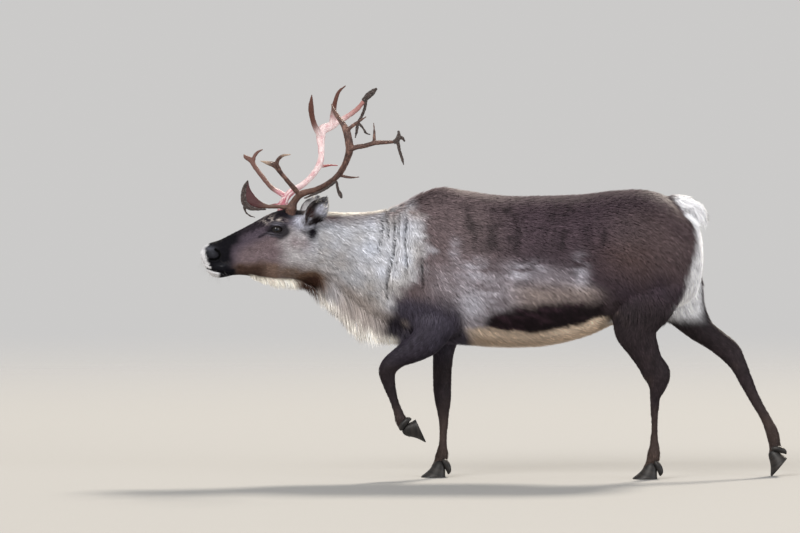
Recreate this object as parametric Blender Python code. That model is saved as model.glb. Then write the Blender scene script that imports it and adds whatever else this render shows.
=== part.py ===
"""A bull reindeer in mid stride, life size, as a still museum model.

Metres, +Z up. The animal walks towards -X and its left side faces -Y. The origin is on the floor
under the middle of the animal. Every outline includes the coat, so the solids reach the hair tips.
"""

import math
import random

import bmesh
import bpy
import numpy as np
from mathutils import Matrix, Vector
from mathutils.bvhtree import BVHTree

GAP = 0.0003
CUT_GROWTH = 0.0006
HEAD_TURN = math.radians(8)
TURN_STARTS_X = -0.42
TURN_ENDS_X = -0.64
TURN_PIVOT = Vector((-0.60, 0.0, 0.0))

MATERIALS = {
    "coat_brown": ((0.060, 0.043, 0.036, 1), 0.85),
    "coat_pale": ((0.42, 0.38, 0.34, 1), 0.85),
    "coat_white": ((0.72, 0.70, 0.67, 1), 0.85),
    "coat_black": ((0.022, 0.017, 0.016, 1), 0.80),
    "antler_brown": ((0.115, 0.062, 0.045, 1), 0.50),
    "antler_pink": ((0.46, 0.25, 0.22, 1), 0.50),
    "velvet": ((0.028, 0.020, 0.017, 1), 0.90),
    "horn": ((0.030, 0.026, 0.024, 1), 0.40),
    "eye": ((0.010, 0.008, 0.008, 1), 0.05),
}


# Scene, materials and object bookkeeping
for old in list(bpy.data.objects):
    bpy.data.objects.remove(old)
parts = bpy.data.collections.new("reindeer")
helpers = bpy.data.collections.new("cutters")
for collection in (parts, helpers):
    bpy.context.scene.collection.children.link(collection)


def material(name):
    """The Principled material of that name, made the first time it is asked for."""
    if name in bpy.data.materials:
        return bpy.data.materials[name]
    colour, roughness = MATERIALS[name]
    made = bpy.data.materials.new(name)
    made.use_nodes = True
    shader = made.node_tree.nodes["Principled BSDF"]
    shader.inputs["Base Color"].default_value = colour
    shader.inputs["Roughness"].default_value = roughness
    return made


def link_mesh(name, bm, collection):
    """A new object made from a bmesh, in the given collection, with its faces pointing out."""
    bmesh.ops.recalc_face_normals(bm, faces=bm.faces)
    mesh = bpy.data.meshes.new(name)
    bm.to_mesh(mesh)
    bm.free()
    obj = bpy.data.objects.new(name, mesh)
    collection.objects.link(obj)
    return obj


def helper(obj):
    """Marks an object as a cutter, which the model leaves out."""
    obj.hide_render = True
    obj.display_type = "WIRE"
    return obj


def finish(obj, material_name):
    """Gives a finished node its material and smooth shading."""
    obj.data.materials.clear()
    obj.data.materials.append(material(material_name))
    obj.data.shade_smooth()
    obj.data.set_sharp_from_angle(angle=math.radians(40))
    return obj


# Curves, lofts and Booleans that every part of the animal shares
def smooth_rows(rows, steps):
    """Rows of numbers with extra rows between them, on a smooth curve through them all."""
    rows = np.array(rows, float)
    chord = np.linalg.norm(np.diff(rows[:, :3], axis=0), axis=1)
    at = np.concatenate([[0], np.cumsum(np.maximum(chord, 1e-6))])
    slope = np.diff(rows, axis=0) / np.diff(at)[:, None]
    before, after = np.diff(at)[:-1, None], np.diff(at)[1:, None]
    inner = (after * slope[:-1] + before * slope[1:]) / (before + after)
    tangent = np.vstack([slope[:1], inner, slope[-1:]])
    found = []
    for i in range(len(rows) - 1):
        length = at[i + 1] - at[i]
        for step in range(steps):
            t = step / steps
            found.append(
                (2 * t**3 - 3 * t**2 + 1) * rows[i]
                + (t**3 - 2 * t**2 + t) * length * tangent[i]
                + (3 * t**2 - 2 * t**3) * rows[i + 1]
                + (t**3 - t**2) * length * tangent[i + 1]
            )
    return np.array(found + [rows[-1]])


def loft(name, rings, collection):
    """A closed skin over rings with equal numbers of points, capped at both ends."""
    bm = bmesh.new()
    loops = [[bm.verts.new(point) for point in ring] for ring in rings]
    count = len(loops[0])
    for first, second in zip(loops[:-1], loops[1:]):
        for j in range(count):
            k = (j + 1) % count
            bm.faces.new((first[j], first[k], second[k]))
            bm.faces.new((first[j], second[k], second[j]))
    bm.faces.new(loops[0][::-1])
    bm.faces.new(loops[-1])
    return link_mesh(name, bm, collection)


def limb_rings(rows, steps, points, grow=0.0):
    """Elliptical rings square to a path. A row is x, y, z, half depth in the XZ plane, half width."""
    rows = smooth_rows(rows, steps)
    path = rows[:, :3]
    heading = np.gradient(path, axis=0)
    rings = []
    for centre, along, (deep, wide) in zip(path, heading, rows[:, 3:5]):
        along = Vector(along).normalized()
        side = Vector((0, 1, 0))
        if abs(along.y) > 0.9:
            side = Vector((1, 0, 0))
        deep_axis = side.cross(along).normalized()
        wide_axis = along.cross(deep_axis).normalized()
        rings.append(
            [
                Vector(centre)
                + deep_axis * (deep + grow) * math.cos(2 * math.pi * j / points)
                + wide_axis * (wide + grow) * math.sin(2 * math.pi * j / points)
                for j in range(points)
            ]
        )
    return rings


def limb(name, rows, steps, points, collection, grow=0.0):
    """A closed limb. A larger one, for cutting, is also a little longer at both ends."""
    rows = np.array(rows, float)
    if grow:
        for end, inner in ((0, 1), (-1, -2)):
            step = rows[end, :3] - rows[inner, :3]
            rows[end, :3] += step / np.linalg.norm(step) * grow
    return loft(name, limb_rings(rows, steps, points, grow), collection)


def apply_boolean(obj, operation, operands):
    """One Boolean with a whole collection of closed meshes, applied, and the collection removed."""
    group = bpy.data.collections.new("operands")
    bpy.context.scene.collection.children.link(group)
    for operand in operands:
        for owner in list(operand.users_collection):
            owner.objects.unlink(operand)
        group.objects.link(operand)
    modifier = obj.modifiers.new("join", "BOOLEAN")
    modifier.operation = operation
    modifier.operand_type = "COLLECTION"
    modifier.collection = group
    modifier.solver = "MANIFOLD"
    bpy.context.view_layer.update()
    graph = bpy.context.evaluated_depsgraph_get()
    mesh = bpy.data.meshes.new_from_object(obj.evaluated_get(graph))
    obj.modifiers.clear()
    obj.data = mesh
    for operand in list(group.objects):
        bpy.data.objects.remove(operand)
    bpy.data.collections.remove(group)
    keep_largest(obj)
    return obj


def keep_largest(obj):
    """Leaves only the closed surface that spans the largest box."""
    bm = bmesh.new()
    bm.from_mesh(obj.data)
    left = set(bm.verts)
    islands = []
    while left:
        stack = [left.pop()]
        island = set(stack)
        while stack:
            for edge in stack.pop().link_edges:
                for vert in edge.verts:
                    if vert in left:
                        left.remove(vert)
                        island.add(vert)
                        stack.append(vert)
        islands.append(island)

    def span(island):
        co = np.array([v.co for v in island])
        return float(np.linalg.norm(co.max(0) - co.min(0)))

    islands.sort(key=span)
    for island in islands[:-1]:
        bmesh.ops.delete(bm, geom=list(island), context="VERTS")
    bm.to_mesh(obj.data)
    bm.free()


def union(obj, pieces):
    return apply_boolean(obj, "UNION", pieces) if pieces else obj


def cut_clear(obj, cutters):
    return apply_boolean(obj, "DIFFERENCE", [helper(cutter) for cutter in cutters])


def behind_plane(obj, name, point, normal, collection):
    """The share of a closed mesh that lies behind a plane, half a gap short of it, capped flat."""
    bm = bmesh.new()
    bm.from_mesh(obj.data)
    normal = Vector(normal).normalized()
    cut = bmesh.ops.bisect_plane(
        bm,
        geom=bm.verts[:] + bm.edges[:] + bm.faces[:],
        plane_co=Vector(point) - normal * GAP / 2,
        plane_no=normal,
        clear_outer=True,
    )
    rim = [item for item in cut["geom_cut"] if isinstance(item, bmesh.types.BMEdge)]
    bmesh.ops.holes_fill(bm, edges=rim)
    return link_mesh(name, bm, collection)


def turned(point):
    """A point of the straight animal after the head is turned a little towards its left."""
    share = (TURN_STARTS_X - point[0]) / (TURN_STARTS_X - TURN_ENDS_X)
    share = min(1.0, max(0.0, share))
    angle = HEAD_TURN * share * share * (3 - 2 * share)
    return TURN_PIVOT + Matrix.Rotation(angle, 3, "Z") @ (Vector(point) - TURN_PIVOT)


def turn(obj):
    for vert in obj.data.vertices:
        vert.co = turned(vert.co)
    return obj


# Trunk, neck and head as one loft. A row is the ring's top x and z, its bottom x and z, its half
# width, and how far up the ring is widest.
BODY = [
    (0.778, 0.870, 0.778, 0.810, 0.035, 0.50),
    (0.769, 0.938, 0.772, 0.731, 0.085, 0.50),
    (0.750, 0.982, 0.757, 0.675, 0.125, 0.50),
    (0.713, 1.020, 0.720, 0.645, 0.160, 0.50),
    (0.660, 1.061, 0.660, 0.622, 0.185, 0.50),
    (0.574, 1.089, 0.574, 0.600, 0.205, 0.48),
    (0.461, 1.086, 0.461, 0.574, 0.222, 0.45),
    (0.349, 1.073, 0.349, 0.529, 0.245, 0.43),
    (0.199, 1.067, 0.199, 0.495, 0.255, 0.42),
    (0.030, 1.069, 0.030, 0.489, 0.240, 0.43),
    (-0.101, 1.087, -0.112, 0.497, 0.215, 0.45),
    (-0.195, 1.101, -0.225, 0.502, 0.195, 0.45),
    (-0.263, 1.080, -0.326, 0.506, 0.165, 0.46),
    (-0.337, 1.044, -0.397, 0.529, 0.135, 0.48),
    (-0.420, 1.016, -0.487, 0.581, 0.112, 0.50),
    (-0.525, 1.007, -0.578, 0.649, 0.095, 0.50),
    (-0.615, 1.009, -0.667, 0.701, 0.083, 0.52),
    (-0.679, 1.012, -0.724, 0.726, 0.077, 0.55),
    (-0.731, 1.014, -0.772, 0.731, 0.076, 0.60),
    (-0.784, 1.012, -0.821, 0.735, 0.078, 0.66),
    (-0.833, 0.997, -0.866, 0.742, 0.076, 0.68),
    (-0.885, 0.969, -0.911, 0.754, 0.063, 0.62),
    (-0.934, 0.943, -0.949, 0.759, 0.053, 0.55),
    (-0.979, 0.921, -0.986, 0.756, 0.049, 0.50),
    (-1.024, 0.898, -1.024, 0.748, 0.050, 0.48),
    (-1.061, 0.887, -1.056, 0.756, 0.048, 0.48),
    (-1.086, 0.872, -1.076, 0.784, 0.037, 0.50),
    (-1.099, 0.851, -1.091, 0.814, 0.018, 0.50),
]
BODY_POINTS = 24
TRUNK_STEPS = 2
HEAD_STEPS = 2
HEAD_ROWS_FROM = 17

# Swellings of the side: x, z, reach along, reach up, height
SWELLINGS = [
    (-0.190, 0.700, 0.120, 0.170, 0.022),
    (-0.150, 0.960, 0.090, 0.110, -0.014),
    (0.610, 0.800, 0.150, 0.180, 0.022),
    (0.420, 0.920, 0.090, 0.090, -0.016),
    (-0.300, 0.620, 0.070, 0.090, 0.012),
    (-0.765, 0.820, 0.055, 0.060, 0.010),
    (-0.818, 0.965, 0.040, 0.018, 0.012),
    (-0.868, 0.930, 0.030, 0.024, -0.008),
    (-0.930, 0.840, 0.050, 0.050, -0.004),
    (-1.062, 0.845, 0.026, 0.026, 0.007),
    (-1.040, 0.785, 0.040, 0.014, 0.004),
]


def body_ring(row, grow):
    """One ring of the body, a little boxy below and narrower along the spine."""
    top, bottom = Vector((row[0], 0, row[1])), Vector((row[2], 0, row[3]))
    upward = (top - bottom).normalized()
    height = (top - bottom).length
    half_width, widest = row[4], row[5]
    ring = []
    for j in range(BODY_POINTS):
        angle = 2 * math.pi * j / BODY_POINTS
        across, up = math.sin(angle), math.cos(angle)
        share = widest + (1 - widest) * up if up > 0 else widest + widest * up
        narrow = abs(across) ** (1.12 if up > 0 else 0.92)
        centre = bottom + upward * height * share
        wide = narrow * half_width
        for x, z, reach_x, reach_z, swell in SWELLINGS:
            away = ((centre.x - x) / reach_x) ** 2 + ((centre.z - z) / reach_z) ** 2
            wide += swell * abs(across) * math.exp(-away)
        side = math.copysign(wide + grow * abs(across), across)
        ring.append(centre + upward * grow * up + Vector((0, side, 0)))
    return ring


def body_loft(name, collection, grow=0.0):
    trunk = smooth_rows(BODY, TRUNK_STEPS)[: HEAD_ROWS_FROM * TRUNK_STEPS]
    head = smooth_rows(BODY, HEAD_STEPS)[HEAD_ROWS_FROM * HEAD_STEPS :]
    rows = np.vstack([trunk, head])
    rows[0, 0] += grow
    rows[0, 2] += grow
    return loft(name, [body_ring(row, grow) for row in rows], collection)


# Where the thin cuts part trunk, neck and head: a point on each cut, and the way it faces
NECK_CUT = (Vector((-0.290, 0, 0.80)), Vector((-0.99, 0, 0.14)))
HEAD_CUT = (Vector((-0.680, 0, 0.87)), Vector((-0.985, 0, 0.171)))

whole = helper(body_loft("whole", helpers))
torso = behind_plane(whole, "torso", *NECK_CUT, parts)
front = helper(behind_plane(whole, "front", NECK_CUT[0], -NECK_CUT[1], helpers))
neck = behind_plane(front, "neck", *HEAD_CUT, parts)
head = behind_plane(front, "head", HEAD_CUT[0], -HEAD_CUT[1], parts)


def body_cutter():
    """The whole body, a hair larger, for cutting what grows from it."""
    return turn(body_loft("cutter", helpers, CUT_GROWTH))


# Locks of long hair: flat, tapered and bent, with a diamond section
def lock(name, root, lie, out, length, width, thickness, droop):
    """A closed lock. Its root is sunk below the skin and its tip bends towards the floor."""
    lie, out = lie.normalized(), out.normalized()
    across = lie.cross(out).normalized()
    rings = []
    for share, wide, thick in ((0.0, 0.9, 0.9), (0.50, 1.0, 1.0), (1.0, 0.12, 0.2)):
        centre = root + lie * length * share + Vector((0, 0, -droop * share * share))
        normal = (across.cross(lie)).normalized()
        rings.append(
            [
                centre + across * width * wide / 2,
                centre + normal * thickness * thick / 2,
                centre - across * width * wide / 2,
                centre - normal * thickness * thick / 2,
            ]
        )
    return loft(name, rings, helpers)


# The throat mane: rows of locks under the neck, longest over the brisket
MANE_ROWS = 10
MANE_ACROSS = 5
MANE_FIRST_X, MANE_LAST_X = -0.690, -0.395
MANE_SPREAD = 0.95
MANE_LENGTHS = (0.050, 0.080)
MANE_WIDTH = 0.048
MANE_THICKNESS = 0.011
MANE_SINK = 0.012


def surface_hit(tree, origin, direction):
    """Where a ray first meets a surface, and the surface's normal there."""
    location, normal, _, _ = tree.ray_cast(Vector(origin), Vector(direction))
    return location, normal


def neck_underside(share):
    """A point on the middle line of the neck, at a share of the way from throat to brisket."""
    x = MANE_FIRST_X + (MANE_LAST_X - MANE_FIRST_X) * share
    bottoms = np.array([(row[2], row[3], row[1]) for row in BODY])[::-1]
    low = float(np.interp(x, bottoms[:, 0], bottoms[:, 1]))
    high = float(np.interp(x, bottoms[:, 0], bottoms[:, 2]))
    return Vector((x, 0, low + 0.45 * (high - low)))


chance = random.Random(11)
neck_surface = BVHTree.FromObject(whole, bpy.context.evaluated_depsgraph_get())
mane_back = Vector((0.80, 0, -0.45))
mane = []
for row in range(MANE_ROWS):
    along = row / (MANE_ROWS - 1)
    middle = neck_underside(along)
    for column in range(MANE_ACROSS + row % 2):
        spot = (column + 0.5) / (MANE_ACROSS + row % 2) * 2 - 1
        angle = spot * MANE_SPREAD
        ray = Vector((-0.35 * math.cos(angle), math.sin(angle), -math.cos(angle)))
        root, normal = surface_hit(neck_surface, middle, ray)
        length = MANE_LENGTHS[0] + (MANE_LENGTHS[1] - MANE_LENGTHS[0]) * along**0.7
        length *= (1 - 0.35 * spot * spot) * chance.uniform(0.78, 1.22)
        lie = mane_back + normal * 0.45
        lie.y += chance.uniform(-0.14, 0.14)
        mane.append(
            lock(
                f"mane_{row}_{column}",
                root - normal * MANE_SINK,
                lie,
                normal,
                length + MANE_SINK,
                MANE_WIDTH * chance.uniform(0.75, 1.15),
                MANE_THICKNESS,
                0.006 + 0.008 * along,
            )
        )
union(neck, mane)
larger = helper(body_loft("larger", helpers, CUT_GROWTH))
trunk_side = behind_plane(larger, "trunk_side", *NECK_CUT, helpers)
head_side = behind_plane(larger, "head_side", HEAD_CUT[0], -HEAD_CUT[1], helpers)
cut_clear(neck, [trunk_side, head_side])

# Face: the eyes are balls in sockets, with an upper and a lower lid over each
EYE_X, EYE_Z = -0.817, 0.934
EYE_RADIUS = 0.0205
EYE_STANDS_OUT = 0.0070
LID_RADIUS = 0.0034
NOSTRIL_X, NOSTRIL_Z = -1.060, 0.834
NOSTRIL_SIZE = (0.0200, 0.0120, 0.0095)
NOSTRIL_TILT = math.radians(-29)
MOUTH_RADIUS = 0.0024
MOUTH = [(-0.978, 0.769), (-1.000, 0.770), (-1.022, 0.773), (-1.045, 0.778), (-1.064, 0.784), (-1.076, 0.789)]
MOUTH_FRONT = Vector((-1.084, 0, 0.792))

head_surface = BVHTree.FromObject(whole, bpy.context.evaluated_depsgraph_get())


def ball(name, centre, radius, collection, size=(1, 1, 1), tilt=0.0, segments=16, rings=10):
    """A sphere or, with a size, an ellipsoid turned about Y."""
    bm = bmesh.new()
    bmesh.ops.create_uvsphere(bm, u_segments=segments, v_segments=rings, radius=radius)
    scale = Matrix.Diagonal((*size, 1))
    place = Matrix.Translation(centre) @ Matrix.Rotation(tilt, 4, "Y") @ scale
    bmesh.ops.transform(bm, matrix=place, verts=bm.verts)
    return link_mesh(name, bm, collection)


def eye_centre(side):
    place, _ = surface_hit(head_surface, (EYE_X, side * 0.5, EYE_Z), (0, -side, 0))
    return place - Vector((0, side * (EYE_RADIUS - EYE_STANDS_OUT), 0))


def lid(name, side, upper):
    """A lid as a tapered tube from corner to corner of the eye, over the ball."""
    centre = eye_centre(side)
    reach = EYE_RADIUS + 0.4 * LID_RADIUS
    rows = []
    for step in range(6):
        along = step / 5
        bearing = math.radians(-62 + 124 * along)
        lift = math.radians((34 if upper else -27) * math.sin(math.pi * along))
        lift += math.radians(-7 + 14 * along)
        place = centre + reach * Vector(
            (math.sin(bearing) * math.cos(lift), side * math.cos(bearing) * math.cos(lift), math.sin(lift))
        )
        thick = LID_RADIUS * (0.6 + 0.6 * math.sin(math.pi * along))
        rows.append((*place, thick, thick))
    return limb(name, rows, 1, 6, helpers)


for side in (-1, 1):
    union(head, [lid(f"lid_{side}_{upper}", side, upper) for upper in (True, False)])

mouth_rows = []
for side in (-1, 1):
    lip = []
    for x, z in MOUTH:
        place, _ = surface_hit(head_surface, (x, side * 0.4, z), (0, -side, 0))
        lip.append((*place, MOUTH_RADIUS, MOUTH_RADIUS))
    mouth_rows.append(lip)
front_of_mouth = [(*MOUTH_FRONT, MOUTH_RADIUS, MOUTH_RADIUS)]
mouth_path = mouth_rows[0] + front_of_mouth + mouth_rows[1][::-1]
face_cutters = [limb("mouth", mouth_path, 1, 6, helpers)]
for side in (-1, 1):
    place, _ = surface_hit(head_surface, (NOSTRIL_X, side * 0.4, NOSTRIL_Z), (0, -side, 0))
    face_cutters.append(
        ball(f"nostril_{side}", place, 1.0, helpers, NOSTRIL_SIZE, NOSTRIL_TILT, 12, 8)
    )
cut_clear(head, face_cutters)
cut_clear(
    head,
    [ball(f"socket_{side}", eye_centre(side), EYE_RADIUS + GAP, helpers) for side in (-1, 1)],
)
for side, name in ((-1, "eye_left"), (1, "eye_right")):
    eye = ball(name, eye_centre(side), EYE_RADIUS, parts)
    finish(turn(eye), "eye")

# Ears: a leaf with a cup cut into it, open to the side and a little forwards. A row is the share of
# the length, then the half width, the half depth and the shift towards the opening.
EAR_ROOT_X, EAR_ROOT_Z = -0.703, 0.950
EAR_LENGTH = 0.128
EAR_LEAF = [
    (-0.14, 0.015, 0.015, 0.000),
    (0.10, 0.021, 0.019, 0.000),
    (0.32, 0.031, 0.021, 0.000),
    (0.55, 0.036, 0.019, -0.002),
    (0.76, 0.031, 0.015, -0.005),
    (0.92, 0.017, 0.009, -0.008),
    (1.00, 0.004, 0.004, -0.010),
]
EAR_CUP = [
    (0.14, 0.008, 0.010, 0.013),
    (0.32, 0.022, 0.019, 0.012),
    (0.55, 0.028, 0.018, 0.011),
    (0.76, 0.024, 0.015, 0.007),
    (0.94, 0.011, 0.010, 0.002),
]
EAR_POINTS = 12


def ear_leaf(name, rows, side, collection):
    root, _ = surface_hit(head_surface, (EAR_ROOT_X, side * 0.4, EAR_ROOT_Z), (0, -side, 0))
    axis = Vector((0.62, side * 0.42, 0.66)).normalized()
    opening = Vector((-0.30, side * 0.93, -0.20))
    opening = (opening - axis * opening.dot(axis)).normalized()
    across = axis.cross(opening).normalized()
    rings = []
    for share, wide, deep, shift in rows:
        centre = root + axis * EAR_LENGTH * share + opening * shift
        angles = [2 * math.pi * j / EAR_POINTS for j in range(EAR_POINTS)]
        rings.append([centre + across * wide * math.cos(a) + opening * deep * math.sin(a) for a in angles])
    return loft(name, rings, collection)


def ear(name, side):
    made = ear_leaf(name, EAR_LEAF, side, parts)
    return cut_clear(made, [ear_leaf("cup", EAR_CUP, side, helpers)])


for side, name in ((-1, "ear_left"), (1, "ear_right")):
    made = turn(ear(name, side))
    finish(cut_clear(made, [body_cutter()]), "coat_pale")

finish(turn(neck), "coat_pale")
finish(turn(head), "coat_brown")
finish(torso, "coat_brown")

# Tail: a short core under tapered white locks that fan down over the rump
TAIL = [
    (0.668, 0.0, 1.040, 0.022, 0.024),
    (0.720, 0.0, 1.030, 0.026, 0.036),
    (0.756, 0.0, 1.008, 0.026, 0.042),
    (0.782, 0.0, 0.970, 0.019, 0.036),
    (0.792, 0.0, 0.940, 0.006, 0.014),
]
TAIL_TIERS = 3
TAIL_LOCKS = 6
TAIL_FIRST_TIER, TAIL_LAST_TIER = 0.32, 0.78
TAIL_LOCK_LENGTH = 0.056
TAIL_LOCK_WIDTH = 0.032
TAIL_LOCK_THICKNESS = 0.010
TAIL_LOCK_DROOP = 0.012

tail = limb("tail", TAIL, 2, 10, parts)
tail_path = smooth_rows(TAIL, 8)[:, :3]
tail_locks = []
for tier in range(TAIL_TIERS):
    share = TAIL_FIRST_TIER + (TAIL_LAST_TIER - TAIL_FIRST_TIER) * tier / (TAIL_TIERS - 1)
    spot = tail_path[int(share * (len(tail_path) - 1))]
    for column in range(TAIL_LOCKS - (tier == TAIL_TIERS - 1) * 2):
        bearing = (column / (TAIL_LOCKS - 1) * 2 - 1) * math.radians(100)
        out = Vector((0.80 * math.cos(bearing), math.sin(bearing), 0.60 * math.cos(bearing)))
        lie = Vector((0.40, 0.0, -0.80)) + out * 0.28
        tail_locks.append(
            lock(
                f"tail_{tier}_{column}",
                Vector(spot) + Vector((out.x * 0.014, out.y * 0.024, out.z * 0.014)),
                lie,
                out,
                TAIL_LOCK_LENGTH * chance.uniform(0.9, 1.12),
                TAIL_LOCK_WIDTH,
                TAIL_LOCK_THICKNESS,
                TAIL_LOCK_DROOP,
            )
        )
union(tail, tail_locks)
finish(cut_clear(tail, [body_cutter()]), "coat_white")

# Legs: x, y, z, half depth, half width down each leg, and where a thin cut parts it in two
LEGS = {
    "foreleg_left": (
        [
            (-0.195, -0.105, 0.713, 0.080, 0.045),
            (-0.199, -0.120, 0.630, 0.083, 0.050),
            (-0.221, -0.132, 0.562, 0.074, 0.052),
            (-0.247, -0.137, 0.521, 0.064, 0.049),
            (-0.307, -0.135, 0.479, 0.049, 0.041),
            (-0.352, -0.130, 0.454, 0.039, 0.036),
            (-0.392, -0.126, 0.411, 0.036, 0.036),
            (-0.384, -0.122, 0.352, 0.027, 0.028),
            (-0.371, -0.119, 0.307, 0.021, 0.022),
            (-0.354, -0.116, 0.259, 0.021, 0.021),
            (-0.339, -0.114, 0.217, 0.026, 0.027),
            (-0.323, -0.113, 0.195, 0.022, 0.025),
            (-0.304, -0.112, 0.180, 0.026, 0.034),
        ],
        (Vector((-0.386, -0.124, 0.372)), Vector((0.15, 0, -0.99))),
    ),
    "foreleg_right": (
        [
            (-0.172, 0.100, 0.705, 0.080, 0.045),
            (-0.169, 0.112, 0.622, 0.078, 0.050),
            (-0.169, 0.112, 0.555, 0.060, 0.048),
            (-0.180, 0.104, 0.480, 0.044, 0.040),
            (-0.186, 0.083, 0.349, 0.038, 0.036),
            (-0.184, 0.074, 0.292, 0.035, 0.036),
            (-0.182, 0.066, 0.244, 0.027, 0.028),
            (-0.181, 0.059, 0.202, 0.022, 0.023),
            (-0.184, 0.045, 0.120, 0.021, 0.021),
            (-0.188, 0.038, 0.079, 0.028, 0.027),
            (-0.199, 0.034, 0.049, 0.023, 0.026),
            (-0.206, 0.032, 0.034, 0.027, 0.036),
        ],
        (Vector((-0.183, 0.070, 0.266)), Vector((0, 0, -1))),
    ),
    "hindleg_left": (
        [
            (0.637, -0.115, 0.855, 0.110, 0.055),
            (0.593, -0.122, 0.724, 0.128, 0.066),
            (0.555, -0.127, 0.637, 0.116, 0.066),
            (0.536, -0.128, 0.562, 0.094, 0.060),
            (0.562, -0.122, 0.491, 0.069, 0.050),
            (0.588, -0.115, 0.439, 0.057, 0.041),
            (0.615, -0.108, 0.390, 0.057, 0.036),
            (0.617, -0.103, 0.345, 0.037, 0.030),
            (0.609, -0.100, 0.311, 0.025, 0.024),
            (0.607, -0.096, 0.263, 0.020, 0.022),
            (0.606, -0.087, 0.142, 0.020, 0.021),
            (0.604, -0.083, 0.086, 0.029, 0.028),
            (0.593, -0.081, 0.052, 0.024, 0.026),
            (0.585, -0.080, 0.034, 0.027, 0.036),
        ],
        (Vector((0.616, -0.103, 0.352)), Vector((0, 0, -1))),
    ),
    "hindleg_right": (
        [
            (0.660, 0.110, 0.836, 0.110, 0.055),
            (0.690, 0.118, 0.713, 0.118, 0.064),
            (0.727, 0.124, 0.630, 0.090, 0.060),
            (0.780, 0.126, 0.559, 0.062, 0.050),
            (0.840, 0.122, 0.514, 0.054, 0.042),
            (0.896, 0.117, 0.469, 0.052, 0.036),
            (0.934, 0.113, 0.412, 0.038, 0.030),
            (0.960, 0.110, 0.356, 0.030, 0.026),
            (0.997, 0.106, 0.281, 0.025, 0.022),
            (1.035, 0.103, 0.214, 0.024, 0.022),
            (1.061, 0.101, 0.152, 0.029, 0.028),
            (1.068, 0.100, 0.103, 0.024, 0.026),
            (1.066, 0.100, 0.0665, 0.027, 0.036),
        ],
        (Vector((0.936, 0.113, 0.408)), Vector((0.45, 0, -0.89))),
    ),
}
LEG_POINTS = 12
LEG_STEPS = 1

# Feet: how far each hoof is tipped about its toe from lying flat
HOOF_TIP = {
    "foreleg_left": math.radians(115),
    "foreleg_right": 0.0,
    "hindleg_left": 0.0,
    "hindleg_right": math.radians(50),
}
# Rings of one claw: height, middle along the toe, half length, middle across, half width
CLAW = [
    (0.010, -0.006, 0.020, 0.0170, 0.0125),
    (-0.006, 0.000, 0.029, 0.0195, 0.0165),
    (-0.022, 0.008, 0.039, 0.0225, 0.0195),
    (-0.034, 0.014, 0.047, 0.0245, 0.0210),
]
CLAW_POINTS = 12
DEW_CLAW = [
    (-0.022, 0.022, 0.038, 0.0085, 0.0085),
    (-0.038, 0.026, 0.020, 0.0100, 0.0095),
    (-0.046, 0.028, -0.003, 0.0085, 0.0080),
    (-0.047, 0.028, -0.020, 0.0030, 0.0030),
]


def foot_frame(leg):
    """The foot's frame: +X back from the toe, +Z up from the sole, at the leg's last ring."""
    end = Vector(LEGS[leg][0][-1][:3])
    return Matrix.Translation(end) @ Matrix.Rotation(-HOOF_TIP[leg], 4, "Y")


def claw(name, frame, side, grow=0.0):
    rings = []
    for height, middle, half_length, offset, half_width in CLAW:
        ring = []
        for j in range(CLAW_POINTS):
            angle = 2 * math.pi * j / CLAW_POINTS
            forward = middle + (half_length + grow) * math.cos(angle)
            bend = 1 - 0.16 * math.cos(angle)
            across = offset * (1 - 0.10 * math.cos(angle)) + (half_width + grow) * math.sin(angle) * bend
            ring.append(frame @ Vector((-forward, side * across, height)))
        rings.append(ring)
    return loft(name, rings, parts)


def dew_claw(name, frame, side):
    rows = [(-x, side * y, z, deep, wide) for x, y, z, deep, wide in DEW_CLAW]
    made = limb(name, rows, 1, 8, parts)
    made.data.transform(frame)
    return made


def above_floor(obj):
    """The share of a node above the floor, capped flat."""
    if min(v.co.z for v in obj.data.vertices) >= 0:
        return obj
    name = obj.name
    obj.name = "uncut"
    made = behind_plane(obj, name, (0, 0, -GAP / 2), (0, 0, -1), parts)
    bpy.data.objects.remove(obj)
    return made


for leg, (rows, (cut_at, cut_faces)) in LEGS.items():
    full = helper(limb(f"{leg}_full", rows, LEG_STEPS, LEG_POINTS, helpers))
    upper = behind_plane(full, f"{leg}_upper", cut_at, cut_faces, parts)
    lower = behind_plane(full, f"{leg}_lower", cut_at, -cut_faces, parts)
    cut_clear(upper, [body_cutter()])
    finish(upper, "coat_brown")
    finish(lower, "coat_black")
    frame = foot_frame(leg)
    for side, which in ((-1, "left"), (1, "right")):
        leg_cutter = limb("leg_cutter", rows, LEG_STEPS, LEG_POINTS, helpers, CUT_GROWTH)
        hoof = cut_clear(claw(f"{leg}_hoof_{which}", frame, side), [leg_cutter])
        finish(above_floor(hoof), "horn")
        leg_cutter = limb("leg_cutter", rows, LEG_STEPS, LEG_POINTS, helpers, CUT_GROWTH)
        dew = dew_claw(f"{leg}_dewclaw_{which}", frame, side)
        finish(cut_clear(dew, [leg_cutter, claw("claw_cutter", frame, side, CUT_GROWTH)]), "horn")

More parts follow.
